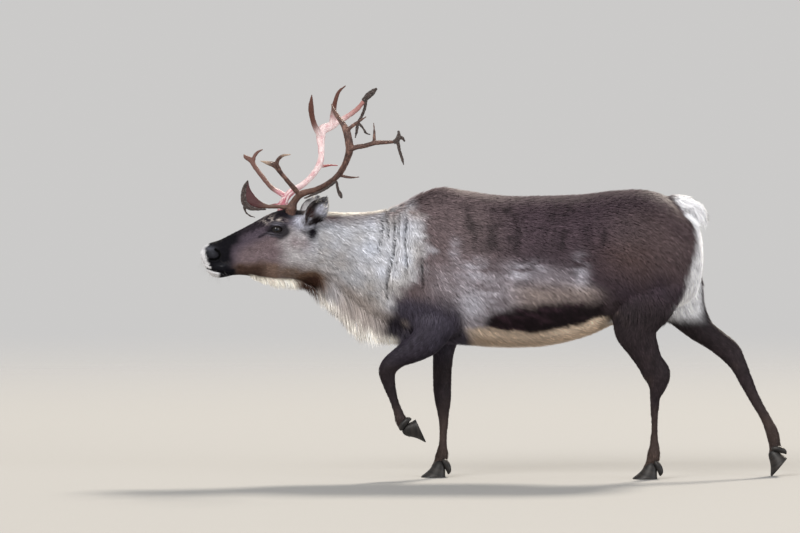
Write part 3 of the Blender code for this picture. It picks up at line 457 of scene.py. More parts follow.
def near_leg(points, rows):
    """How far each point is from a leg's axis, in leg radii, and the way the leg runs there."""
    best = np.full(len(points), FAR)
    way = np.zeros((len(points), 3))
    for a, b in zip(rows[1:-1], rows[2:]):
        t, off = off_line(points, a[:3], b[:3])
        radius = (a[3] + a[4]) / 2 * (1 - t) + (b[3] + b[4]) / 2 * t
        ratio = np.linalg.norm(off, axis=1) / radius
        closer = ratio < best
        best = np.where(closer, ratio, best)
        way[closer] = (b - a)[:3] / np.linalg.norm((b - a)[:3])
    return best, way


body_rows = smooth_rows(BODY, RING_STEPS)
outline = bmesh.new()
add_loft(outline, [body_ring(row, OUTLINE_RING, 0.0) for row in body_rows])
outline_tree = BVHTree.FromBMesh(outline)
outline.free()


def on_side(x, z, side):
    """The point of the straight animal's outline at x and z, on one side."""
    return outline_tree.ray_cast(Vector((x, side * 0.6, z)), Vector((0, -side, 0)))[0]


flesh = bmesh.new()
add_loft(flesh, [body_ring(row, BODY_RING, along_curve(row[0], DEPTHS)) for row in body_rows])
for leg, rows in LEGS.items():
    depths = HINDLEG_DEPTHS if leg.startswith("hind") else FORELEG_DEPTHS
    add_loft(flesh, limb_rings(rows, RING_STEPS, LEG_RING, depths))
add_loft(flesh, limb_rings(TAIL, RING_STEPS, TAIL_RING, TAIL_DEPTHS))
skin = fused(to_object("skin", flesh), SKIN_VOXEL)
smooth(skin.data, SKIN_SMOOTHING)

# Junctions: the pits between legs and trunk are rounded out, as hide is drawn over them. Only the ring
# of skin round the top of each leg is smoothed.
JUNCTION_SMOOTHING = 25
skin_points = coordinates_of(skin.data)
leg_ratio = np.min([near_leg(skin_points, rows)[0] for rows in LEGS.values()], axis=0)
junction = window(leg_ratio, 0.9, 1.3, 2.2, 1.5) * step(skin_points[:, 2], 0.42, 0.5)
smooth(skin.data, JUNCTION_SMOOTHING, junction)

# Head detail on the skin: the mesh is made finer from the neck forwards and finest round the eyes and
# the muzzle, then nostrils, line of the mouth, lips and the pits for the eyes are pressed into it.
EYE_NODES = {-1: "eye_left", 1: "eye_right"}
EYE_RADIUS = 0.0205
EYE_SLANT = math.radians(-8)
LID_HALF = (0.0205, 0.0128)
EYE_PIT_HALF = (0.0250, 0.0185)
EYE_PIT_DEEP = 0.019
BROW_RATIO, BROW_REACH, BROW_SWELL = 2.05, 0.45, 0.0028
# The nostril is a comma-shaped slit that bends round a hairy wing
NOSTRIL = metres([(-1043, 859), (-1031, 850), (-1027, 838), (-1033, 827), (-1046, 821), (-1064, 822)])
NOSTRIL_HALF = 0.0040
NOSTRIL_DEEP = 0.010
NOSTRIL_RIM = 0.0012
WING = (-1.056, 0.843, 0.020, 0.012)
WING_SWELL = 0.0010
MOUTH = metres([(-1086, 792), (-1072, 787), (-1045, 778), (-1022, 773), (-998, 770), (-976, 769)])
MOUTH_HALF = 0.0020
MOUTH_DEEP = 0.0045
LIP_SWELL = 0.0020
FINE_HEAD_X = -0.700
FINEST_MUZZLE_X = -1.005
TEAR_GROOVE = metres([(-838, 929), (-858, 918), (-882, 905)])
TEAR_HALF, TEAR_DEEP = 0.0035, 0.0035
# Forms of the face: x, z, reach along, reach up, height
FACE_FORMS = metres([
    (-868, 893, 40, 9, 3.5), (-912, 868, 30, 8, 2.5), (-776, 958, 18, 12, -4), (-880, 850, 50, 15, -2.5),
    (-985, 858, 22, 18, -2.5), (-960, 788, 30, 6, -1.8), (-990, 760, 14, 6, 2),
])
# Creases that cross the neck where it bends, and faint ones over the ribs: x, lean, lowest and highest z,
# depth and how much painted shade darkens them
CREASES = metres([
    (-416, 50, 855, 965, 4.5, 550), (-394, 50, 895, 1000, 4.5, 600), (-366, 120, 690, 960, 6.5, 750),
    (-345, 80, 900, 985, 3, 350), (-316, 40, 780, 975, 5.5, 650), (-250, 50, 735, 830, 3, 450),
    (96, -60, 860, 990, 2.5, 220), (150, 40, 910, 985, 2, 150), (199, -40, 855, 1000, 3, 250),
    (312, -350, 865, 945, 2.5, 200), (356, 20, 905, 1010, 3, 250),
])
CREASE_HALF = 0.0055


def eye_centre(side):
    low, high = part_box(EYE_NODES[side])
    return np.array(straightened((low + high) / 2))


def refine(obj, wanted):
    """Halves the edges whose two ends are wanted."""
    bm = bmesh.new()
    bm.from_mesh(obj.data)
    edges = [edge for edge in bm.edges if wanted[edge.verts[0].index] and wanted[edge.verts[1].index]]
    bmesh.ops.subdivide_edges(bm, edges=edges, cuts=1, use_grid_fill=True)
    bm.to_mesh(obj.data)
    bm.free()


def eye_offsets(points, side):
    """Offsets from an eye: along the slit, up across it, and outwards."""
    x, y, z = (points - eye_centre(side)).T
    cos, sin = math.cos(EYE_SLANT), math.sin(EYE_SLANT)
    return x * cos + z * sin, z * cos - x * sin, y * side


def off_eye(along, upward):
    """The same the other way round: x and z off an eye."""
    cos, sin = math.cos(EYE_SLANT), math.sin(EYE_SLANT)
    return along * cos - upward * sin, upward * cos + along * sin


def distance_to(points, path):
    """How far points lie from a path in the side view."""
    ways = [off_line(points[:, [0, 2]], a, b)[1] for a, b in zip(path[:-1], path[1:])]
    return np.min([np.linalg.norm(off, axis=1) for off in ways], axis=0)


def nostril_ratio(points, side):
    """How far points lie from a nostril's slit, in shares of its half width."""
    return np.where(points[:, 1] * side > 0.004, distance_to(points, NOSTRIL) / NOSTRIL_HALF, 9.0)


def crease_line(crease, points):
    """How far points lie behind a crease, and whether it reaches to their height."""
    crease_x, lean, low, high, _, _ = crease
    x, _, z = points.T
    line = crease_x + 0.006 * np.sin(z * 26 + crease_x * 40) + lean * (z - 0.88)
    return x - line, window(z, low - 0.03, low + 0.03, high + 0.02, high - 0.02)


def crease_share(points):
    """How much painted shade the creases of the hide put on points, and how deep they press them in."""
    shade, depth = np.zeros((2, len(points)))
    for crease in CREASES:
        behind, reached = crease_line(crease, points)
        here = np.exp(-((behind / CREASE_HALF) ** 2)) * reached
        depth = depth + here * crease[4]
        shade = np.maximum(shade, here * crease[5])
    return shade, depth


refine(skin, coordinates_of(skin.data)[:, 0] < FINE_HEAD_X)
skin_points = coordinates_of(skin.data)
smooth(skin.data, 4, step(skin_points[:, 0], FINE_HEAD_X + 0.02, FINE_HEAD_X - 0.02))
near_eye = np.zeros(len(skin_points), bool)
for side in (-1, 1):
    along, upward, outward = eye_offsets(skin_points, side)
    near_eye |= (np.hypot(along, upward) < 0.038) & (outward > -0.03)
refine(skin, near_eye | (skin_points[:, 0] < FINEST_MUZZLE_X))

head_points = coordinates_of(skin.data)
head_x, _, head_z = head_points.T
head_normals = normals_of(skin.data)
push = -crease_share(head_points)[1]
for side in (-1, 1):
    this_side = step(head_points[:, 1] * side, 0.004, 0.012)
    along, upward, outward = eye_offsets(head_points, side)
    pit = np.sqrt((along / EYE_PIT_HALF[0]) ** 2 + (upward / EYE_PIT_HALF[1]) ** 2)
    facing = (outward > -0.03) * 1.0
    push -= EYE_PIT_DEEP * step(pit, 1.05, 0.8) * facing
    brow = np.exp(-(((pit - BROW_RATIO) / BROW_REACH) ** 2)) * (0.4 + 0.6 * step(upward, -0.01, 0.02))
    push += BROW_SWELL * brow * facing
    push += spots(head_x, head_z, FACE_FORMS) * this_side
    groove = np.exp(-((distance_to(head_points, TEAR_GROOVE) / TEAR_HALF) ** 2))
    push -= TEAR_DEEP * groove * this_side
    hole = nostril_ratio(head_points, side)
    push -= NOSTRIL_DEEP * step(hole, 1.0, 0.40)
    push += NOSTRIL_RIM * np.exp(-(((hole - 1.9) / 0.6) ** 2))
    push += WING_SWELL * blob(head_x, head_z, *WING) * this_side
to_mouth = distance_to(head_points, MOUTH)
sideways = step(np.abs(head_normals[:, 1]) - head_normals[:, 0], 0.2, 0.5)
push -= MOUTH_DEEP * step(to_mouth, 2 * MOUTH_HALF, 0.3 * MOUTH_HALF) * sideways
push += LIP_SWELL * np.exp(-(((to_mouth - 0.008) / 0.004) ** 2)) * sideways
set_coordinates(skin.data, head_points + head_normals * push[:, None])
muzzle = step(head_x, FINEST_MUZZLE_X + 0.01, FINEST_MUZZLE_X - 0.01)
smooth(skin.data, 1, 0.5 * muzzle)

# Ears: thin leaves of gristle with a cup, rooted behind the antlers and laid back and out. Each is
# lofted, hollowed by the cup and laid into the skin.
EAR_ROOT = (-0.708, 0.946)
EAR_LENGTH = 0.128
EAR_RING = 28
EAR_WAY, EAR_OPENS = (0.46, 0.42, 0.73), (-0.30, 0.93, -0.20)
# Share of the length, half width, half depth and shift towards the opening
EAR_LEAF = metres([
    (-140, 14, 14, 0), (100, 20, 17, 0), (320, 29, 18, 0), (550, 34, 16, -2), (760, 29, 12, -5),
    (920, 15, 8, -8), (1000, 3, 3, -10),
])
EAR_CUP = metres([
    (80, 4, 6, 13), (200, 15, 15, 13), (360, 24, 20, 13), (560, 29, 20, 12), (780, 25, 16, 8),
    (960, 10, 10, 3),
])


def ear_axes(side):
    """An ear's root, its axis, the way it opens and the way across."""
    axis, opening = (Vector((x, side * y, z)) for x, y, z in (EAR_WAY, EAR_OPENS))
    axis.normalize()
    opening = (opening - axis * opening.dot(axis)).normalized()
    across = axis.cross(opening).normalized()
    return [np.array(v) for v in (on_side(*EAR_ROOT, side), axis, opening, across)]


def ear_loft(name, rows, side):
    """One ear, or the hollow in it, lofted along its axis."""
    root, axis, opening, across = ear_axes(side)
    angle = 2 * math.pi * np.arange(EAR_RING) / EAR_RING
    rings = []
    for share, wide, deep, shift in smooth_rows(rows, RING_STEPS):
        centre = root + axis * EAR_LENGTH * share + opening * shift
        ring = centre + np.outer(np.cos(angle), across) * wide
        rings.append(ring + np.outer(np.sin(angle), opening) * deep)
    bm = bmesh.new()
    add_loft(bm, rings)
    return to_object(name, bm)


def add_object(bm, obj):
    """Adds an object's mesh to a bmesh and removes the object."""
    bm.from_mesh(obj.data)
    bpy.data.objects.remove(obj)


whole_skin = bmesh.new()
add_object(whole_skin, skin)
for side in (-1, 1):
    ear = ear_loft("ear", EAR_LEAF, side)
    cup = ear_loft("cup", EAR_CUP, side)
    cut = ear.modifiers.new("cup", "BOOLEAN")
    cut.operation = "DIFFERENCE"
    cut.object = cup
    cut.solver = "EXACT"
    add_object(whole_skin, baked(ear))
    bpy.data.objects.remove(cup)

# Eyelids: a ring of hide round each eye, from the bare dark rim on the ball out to the face, with the
# two folds that part the lid from the brow above and from the cheek below.
LID_OUTER_HALF = (0.041, 0.030)
LID_POINTS = 48
LID_UP, LID_DOWN = 1.10, 0.90
# Share of the way out to the face, and height over the ball or the face
LID_SECTION = metres([
    (0, -0.6), (20, 1.2), (80, 2.6), (200, 3.2), (300, 2.2), (370, 0.4), (450, 2.6), (580, 3), (680, 1.2),
    (740, 0.6), (840, 2.2), (1000, -2),
])

for side in (-1, 1):
    centre = eye_centre(side)
    rings = []
    for share, height in LID_SECTION:
        ring = []
        for j in range(LID_POINTS):
            t = 2 * math.pi * j / LID_POINTS
            half = [a + (b - a) * share for a, b in zip(LID_HALF, LID_OUTER_HALF)]
            almond = abs(math.sin(t)) ** (1.35 - 0.35 * share)
            u = half[0] * math.cos(t)
            v = half[1] * math.copysign(almond, math.sin(t)) * (LID_UP if math.sin(t) > 0 else LID_DOWN)
            x, z = centre[[0, 2]] + off_eye(u, v)
            on_ball = math.sqrt(max(EYE_RADIUS**2 - min(u * u + v * v, 0.9 * EYE_RADIUS**2), 0))
            face = on_side(x, z, side)[1] * side - along_curve(x, DEPTHS) - centre[1] * side
            lean = step(np.array(share), 0.08, 0.75)
            to_groove = distance_to(np.array([(x, 0, z)]), TEAR_GROOVE)[0]
            groove = TEAR_DEEP * math.exp(-((to_groove / TEAR_HALF) ** 2)) * min(1.0, share * 4)
            outward = on_ball * (1 - lean) + face * lean + height - groove
            ring.append((x, centre[1] + side * outward, z))
        rings.append(ring)
    add_loft(whole_skin, rings, ends=False, flip=side < 0)

skin = linked("skin", bpy.data.meshes.new("skin"))
whole_skin.to_mesh(skin.data)
whole_skin.free()
skin.data.shade_smooth()

# Unwrap: the skin is laid out flat once, before it is coloured. Every tuft of the coat keeps a small
# patch of this map at the place of its root.
bpy.context.view_layer.objects.active = skin
skin.select_set(True)
bpy.ops.object.mode_set(mode="EDIT")
bpy.ops.mesh.select_all(action="SELECT")
bpy.ops.uv.smart_project(angle_limit=math.radians(66), island_margin=0.001)
bpy.ops.object.mode_set(mode="OBJECT")
skin.select_set(False)
skin.data.uv_layers[0].name = "OFBake"

# Markings, worked out from places on the straight animal and shared by skin and coat: dark back and
# legs, pale streaked flank, cream belly under a dark band, white neck, mane, rump and tail. Painted
# shade in the creases and folds of the hide, painted highlights and painted rim light go in with them.
def tone(*parts):
    """A linear colour from its red, green and blue in thousandths."""
    return np.array(parts) / 1000


BACK = tone(54, 36, 45)
SHOULDER = tone(124, 91, 96)
RUMP = tone(86, 60, 62)
RUSSET = tone(66, 39, 36)
HAUNCH = tone(44, 30, 40)
FLANK = tone(330, 300, 330)
FLANK_LOW = tone(330, 270, 250)
STREAK = tone(560, 550, 620)
DARK_BAND = tone(9, 4.5, 6.5)
BELLY = tone(680, 540, 420)
BELLY_EDGE = tone(330, 225, 150)
NECK = tone(470, 455, 455)
NECK_BLUE = tone(510, 535, 610)
NECK_WARM = tone(300, 272, 258)
NAPE = tone(225, 160, 150)
MANE = tone(960, 900, 820)
MANE_SHADE = tone(300, 255, 235)
WHITE = tone(930, 925, 960)
LEG_DARK = tone(27, 19, 22)
LEG_BROWN = tone(70, 48, 40)
SLATE = tone(56, 48, 68)
SLATE_DARK = tone(16, 12, 19)
ARMPIT = tone(330, 270, 240)
CHEEK = tone(180, 134, 145)
CHEEK_LOW = tone(32, 14, 9)
CHEEK_WARM = tone(230, 150, 108)
JAW_PALE = tone(500, 480, 490)
TEMPLE = tone(250, 205, 215)
BROW_PALE = tone(640, 560, 520)
# Pale hair of the fringe under the jaw, and painted rim light along the neck's topline.
FRINGE_AND_RIM_LIGHT = tone(900, 840, 740)
THROAT = tone(120, 75, 52)
THROAT_DARK = tone(40, 19, 13)
FACE = tone(78, 60, 79)
FOREHEAD = tone(24, 18, 25)
MUZZLE = tone(2.2, 1.8, 4.2)
# Grey hair of the nose and lips, and a painted highlight on the nostril's wing and above it.
NOSTRIL_GREY_AND_HIGHLIGHT = tone(90, 92, 112)
EYE_DARK = tone(11, 9, 13)
LID_GREY = tone(230, 220, 265)
EAR_BACK = tone(420, 410, 420)
EAR_TUFT = tone(640, 650, 760)
EAR_INSIDE = tone(34, 25, 24)
EAR_RED = tone(40, 6, 4)
EAR_LOBE = tone(520, 530, 620)
EAR_RIM = tone(10, 7, 8)
NAPE_DARK = tone(112, 60, 56)

# Where the pale neck ends at z, where the white rump starts at z, and the fringe's skin under the jaw at x
NECK_ENDS = metres([
    (500, -420), (600, -400), (660, -372), (745, -285), (850, -245), (990, -262), (1050, -335)
])
RUMP_STARTS = metres([
    (585, 660), (620, 658), (660, 698), (685, 708), (780, 741), (930, 770), (980, 728), (1040, 688)
])
UNDER_JAW = metres([
    (-910, 757.5), (-880, 750.2), (-850, 746.2), (-820, 742.5), (-760, 741.3), (-730, 738.6), (-700, 731),
    (-660, 714),
])
# Spots of the coat: x, z, reach along, reach up and strength
BRIGHT_SPOTS = metres([
    (-68, 775, 50, 42, 1000), (95, 778, 45, 26, 1000), (325, 780, 30, 48, 800), (170, 800, 30, 20, 700),
    (-30, 665, 60, 45, 700), (-140, 860, 20, 40, 500),
])
WARM_SPOTS = metres([(-575, 822, 90, 48, 900), (-460, 690, 120, 60, 1100), (-660, 860, 50, 70, 500)])
TEMPLE_SPOTS = metres([(-752, 888, 24, 28, 1000), (-705, 878, 26, 30, 1000)])
# Spots round the eye: along the slit, up across it, the two reaches and strength
BROW_FLECKS = metres([(-44, 30, 10, 14, 1000), (2, 37, 30, 6, 800)])
LID_RIMS = metres([
    (-4, 17.5, 20, 3, 1000), (-10, -16.5, 22, 2.6, 700), (-10, -25.5, 26, 2.4, 500), (4, 25, 20, 3, 700),
])
RIPPLE_TABLE = np.random.default_rng(5).uniform(-1, 1, 4096)
RIPPLE_PRIMES = (73856093, 19349663, 83492791)


def ripple(points, scale, stretch=(1, 1, 1)):
    """A smooth seeded noise from -1 to 1."""
    at = points * np.array(stretch) * scale
    low = np.floor(at)
    share = at - low
    share = share * share * (3 - 2 * share)
    cell = low.astype(np.int64)
    total = np.zeros(len(points))
    for corner in np.ndindex(2, 2, 2):
        weight, key = np.ones(len(points)), np.zeros(len(points), np.int64)
        for axis in range(3):
            weight = weight * (share[:, axis] if corner[axis] else 1 - share[:, axis])
            key = key ^ ((cell[:, axis] + corner[axis]) * RIPPLE_PRIMES[axis])
        total += weight * RIPPLE_TABLE[key & 4095]
    return total


def over(colour, new, mask, light=1.0):
    """A colour, made lighter or darker, laid over another where a mask says so."""
    return colour + (new * np.reshape(light, (-1, 1)) - colour) * np.clip(mask, 0, 1)[:, None]


def streaks(points, stretch, wide=70.0, fine=150.0):
    """Streaks in the coat: a wide ripple with a finer one over it."""
    return ripple(points, wide, stretch) + 0.6 * ripple(points, fine, stretch)


def leg_share(points):
    """How far each point belongs to a leg, which leg, and the way that the leg runs."""
    share = np.zeros(len(points))
    way = np.zeros((len(points), 3))
    which = np.full(len(points), -1)
    for i, rows in enumerate(LEGS.values()):
        ratio, run = near_leg(points, rows)
        mine = step(ratio, 1.9, 1.15)
        closer = mine > share
        share = np.where(closer, mine, share)
        way[closer] = run[closer]
        which[closer] = i
    return share, which, way


def ear_share(points):
    """How far each point belongs to an ear, its place along it, if it lies in the cup and on the rim."""
    share, along, inside, rim = np.zeros((4, len(points)))
    for side in (-1, 1):
        root, axis, opening, across = ear_axes(side)
        off = points - root
        s = off @ axis / EAR_LENGTH
        u, v = off @ across, off @ opening
        wide = along_curve(s, EAR_LEAF) + 0.006
        mine = (step(s, 0.02, 0.16) * (s < 1.15) * (np.abs(u) < wide) * (np.abs(v) < 0.03)).astype(float)
        cup, deep, shift = (along_curve(s, EAR_CUP[:, [0, column]]) for column in (1, 2, 3))
        bowl = (u / np.maximum(cup, 1e-4)) ** 2 + ((v - shift) / np.maximum(deep, 1e-4)) ** 2
        within = step(bowl, 1.35, 1.05) * (s > 0.08)
        closer = mine > share
        share = np.where(closer, mine, share)
        along = np.where(closer, s, along)
        inside = np.where(closer, within, inside)
        edge = step(np.abs(u), wide - 0.013, wide - 0.008) * step(v, -0.010, -0.002) * step(s, 0.30, 0.45)
        rim = np.where(closer, np.maximum(edge, step(s, 0.88, 0.97)), rim)
    return share, along, inside, rim


def trunk_colours(points):
    """The colour of back, shoulder, flank, belly and rump."""
    x, y, z = points.T
    wave = ripple(points, 16.0)
    streak = streaks(points, (0.30, 1, 1.0))
    fine = ripple(points, 260.0, (0.4, 1, 1))
    colour = BACK * (1 + 0.16 * wave + 0.14 * streak)[:, None]
    colour = over(colour, RUMP, step(x, 0.36, 0.58) * step(z, 1.05, 0.96) * (0.80 + 0.25 * wave))
    colour = over(colour, RUSSET, blob(x, z, 0.50, 0.83, 0.13, 0.07) * (0.65 + 0.2 * streak))
    shoulder = step(x, 0.16, -0.18) * (0.85 + 0.22 * streak)
    colour = over(colour, SHOULDER, shoulder * step(z, 1.12, 0.98) + 0.6 * shoulder)
    # Painted shade in the folds over the back, and painted light on the ridges between them.
    fold_shading = ripple(points, 34.0, (1.0, 0.3, 0.16)) + 0.7 * ripple(points, 95.0, (1.0, 0.3, 0.16))
    folded = window(x, -0.20, -0.08, 0.52, 0.42) * window(z, 0.83, 0.88, 1.05, 1.00)
    deep, high = step(fold_shading, 0.15, 0.60), step(fold_shading, -0.10, -0.50)
    colour = colour * (1 - folded * (0.55 * deep - 0.18 * high))[:, None]
    middle = curve(x, (-300, 840), (-50, 785), (300, 790), (450, 820))
    above = step(z, middle + 0.065 + 0.025 * wave, middle - 0.090 + 0.025 * wave)
    right = 0.33 + 0.08 * step(z, 0.76, 0.70)
    flank = above * window(x, -0.30, -0.10, right + 0.06, right - 0.06)
    tint = over(FLANK, FLANK_LOW, step(z, 0.76, 0.70) * step(x, 0.02, 0.16))
    colour = over(colour, tint, flank * (0.74 + 0.30 * streak), 1 + 0.16 * streak)
    colour = over(colour, STREAK, spots(x, z, BRIGHT_SPOTS) * (0.42 + 0.62 * streak))
    colour = over(colour, STREAK * 0.9, 0.75 * blob(x, z, -0.078, 0.652, 0.045, 0.050))
    haunch = step(x, 0.34, 0.50) * step(z, 0.81 + 0.03 * wave, 0.685 + 0.03 * wave)
    colour = over(colour, HAUNCH, haunch, 1 + 0.25 * streak)
    upper = curve(x, (-45, 596), (11, 628), (105, 648), (199, 662), (386, 668))
    lower = curve(x, (-40, 572), (105, 559), (199, 562.5), (292.5, 585), (349, 600), (410, 622))
    ragged = 0.007 * streak + 0.004 * fine
    band = step(z, upper + 0.024 + 1.8 * ragged, upper - 0.016 + 1.8 * ragged)
    band = band * window(x, -0.06, 0.0, 0.45, 0.40)
    # The dark band is lightened along the streaks: painted highlights on its hair.
    colour = over(colour, DARK_BAND, band, 1 + 3.0 * np.maximum(streak, 0))
    under = step(z, lower + 0.006 + ragged, lower - 0.008 + ragged)
    under = under * window(x, -0.14, -0.04, 0.50, 0.42)
    belly = over(BELLY, BELLY_EDGE, step(z, lower - 0.015, lower - 0.060) * 0.80)
    # Towards the hind legs the belly is made lighter: painted light.
    belly = belly * (1 + 0.14 * streak + 0.30 * step(x, 0.15, 0.32))[:, None]
    colour = over(colour, belly, under)
    inner = step(np.abs(y), 0.085, 0.05) * step(z, 0.70, 0.60) * step(x, -0.15, -0.05)
    colour = over(colour, BELLY * 0.8, inner * step(x, 0.66, 0.5))
    arm_top = curve(x, (-401, 667.5), (-307.5, 686), (-195, 649), (-139, 600), (-94, 555), (-64, 499))
    arm = step(z, arm_top + 0.022 + ragged, arm_top - 0.030 + ragged)
    arm = arm * window(x, -0.43, -0.40, 0.0, -0.05)
    colour = over(colour, SLATE, arm, 1 + 0.3 * streak)
    return colour


def neck_colours(points, colour):
    """The pale neck, its mottled nape and mane, laid over the trunk's colours."""
    x, y, z = points.T
    wave = ripple(points, 22.0)
    streak = ripple(points, 70.0, (0.35, 1, 0.8)) + 0.6 * ripple(points, 160.0, (0.4, 1, 0.8))
    edge = along_curve(z, NECK_ENDS)
    ragged = 0.018 * wave + 0.016 * streak
    neck = step(x, edge + 0.034 + ragged, edge - 0.034 + ragged)
    pale = over(NECK, NECK_BLUE, 0.5 + 0.5 * wave)
    pale = over(pale, NECK_WARM, spots(x, z, WARM_SPOTS) * (0.75 + 0.35 * streak))
    pale = pale * (0.94 + 0.26 * step(x, -0.50, -0.36) + 0.20 * streak + 0.10 * wave)[:, None]
    pale = over(pale, NECK_BLUE * 1.1, 0.6 * blob(x, z, -0.485, 0.858, 0.060, 0.030))
    colour = over(colour, pale, neck)
    dark_nape = blob(x, z, -0.595, 0.980, 0.055, 0.022) * (0.85 + 0.3 * streak)
    colour = over(colour, NAPE_DARK, dark_nape)
    nape = step(z, 0.925 + 0.020 * streak, 0.995 + 0.020 * streak) * neck * (1 - dark_nape)
    colour = over(colour, NAPE, nape * (0.66 + 0.50 * streak), 1 + 0.35 * streak)
    topline = curve(x, (-700, 1008), (-530, 1002), (-420, 1012), (-340, 1036))
    # A pale line along the neck's topline: painted rim light.
    fringe = step(z, topline - 0.030, topline - 0.018) * window(x, -0.72, -0.66, -0.34, -0.42)
    colour = over(colour, FRINGE_AND_RIM_LIGHT, fringe * 0.85)
    bottom = curve(x, (-720, 726), (-580, 649), (-490, 581), (-400, 529), (-330, 506))
    low = step(z, bottom + 0.140, bottom + 0.080) * window(x, -0.33, -0.38, -0.68, -0.62)
    colour = over(colour, MANE_SHADE, low * step(x, -0.64, -0.54) * 0.9, 1 + 0.25 * streak)
    mane = step(z, bottom + 0.062 + ragged, bottom + 0.020 + ragged)
    mane = mane * window(x, -0.33, -0.38, -0.67, -0.62)
    colour = over(colour, MANE, mane)
    outside = step(np.abs(y), 0.03, 0.06)
    colour = over(colour, SLATE_DARK, 1.4 * blob(x, z, -0.354, 0.584, 0.044, 0.034) * outside)
    return over(colour, ARMPIT, blob(x, z, -0.312, 0.590, 0.014, 0.011) * outside)


def rear_colours(points, colour):
    """The white rump and tail, and the legs, laid over the trunk's colours."""
    x, y, z = points.T
    streak = streaks(points, (1, 1, 0.4), fine=160.0)
    wave = ripple(points, 24.0)
    rear = along_curve(z, RUMP_STARTS)
    under_tail = step(np.abs(y), 0.080, 0.030) * step(z, 0.995, 0.960)
    ragged = 0.011 * streak + 0.008 * wave - 0.060 * under_tail
    rump = step(x, rear - 0.016 + ragged, rear + 0.014 + ragged) * step(z, 0.575, 0.600)
    rump = rump * (1 - step(y, 0.092, 0.115) * step(z, 0.80, 0.77))
    # The top of the tail is made darker: painted shade.
    painted_tail_shade = 1 - 0.13 * step(z, 0.960, 0.985)
    colour = over(colour, WHITE * ((1 + 0.06 * streak) * painted_tail_shade)[:, None], rump)
    share, which, _ = leg_share(points)
    leg = LEG_DARK * (1 + 0.25 * streak)[:, None]
    leg = over(leg, LEG_BROWN, step(z, 0.34, 0.12) * 0.8 + 0.25 * wave)
    leg = over(leg, SLATE, step(z, 0.40, 0.52) * (x < 0.1))
    raised_arm = (which == 0) * window(z, 0.60, 0.53, 0.40, 0.46)
    leg = over(leg, SLATE_DARK, raised_arm * (0.5 + 0.3 * streak))
    hind_inner = (x > 0.1) * step(np.abs(y), 0.115, 0.070) * step(z, 0.56, 0.62)
    leg = over(leg, WHITE * 0.8, hind_inner)
    far_thigh = (which == 3) * step(x, rear - 0.010, rear + 0.014)
    leg = over(leg, WHITE, far_thigh * step(z, 0.585, 0.615) * step(x, 0.80, 0.76))
    return over(colour, leg, share * step(z, 0.74, 0.60))


def fringe_share(points):
    """How far points belong to the pale fringe under the jaw."""
    x, y, z = points.T
    under = along_curve(x, UNDER_JAW)
    narrow = 0.016 * step(x, -0.77, -0.70)
    inner = step(np.abs(y), 0.034 - narrow, 0.024 - narrow)
    return step(z, under + 0.012, under + 0.004) * window(x, -0.925, -0.895, -0.64, -0.68) * inner


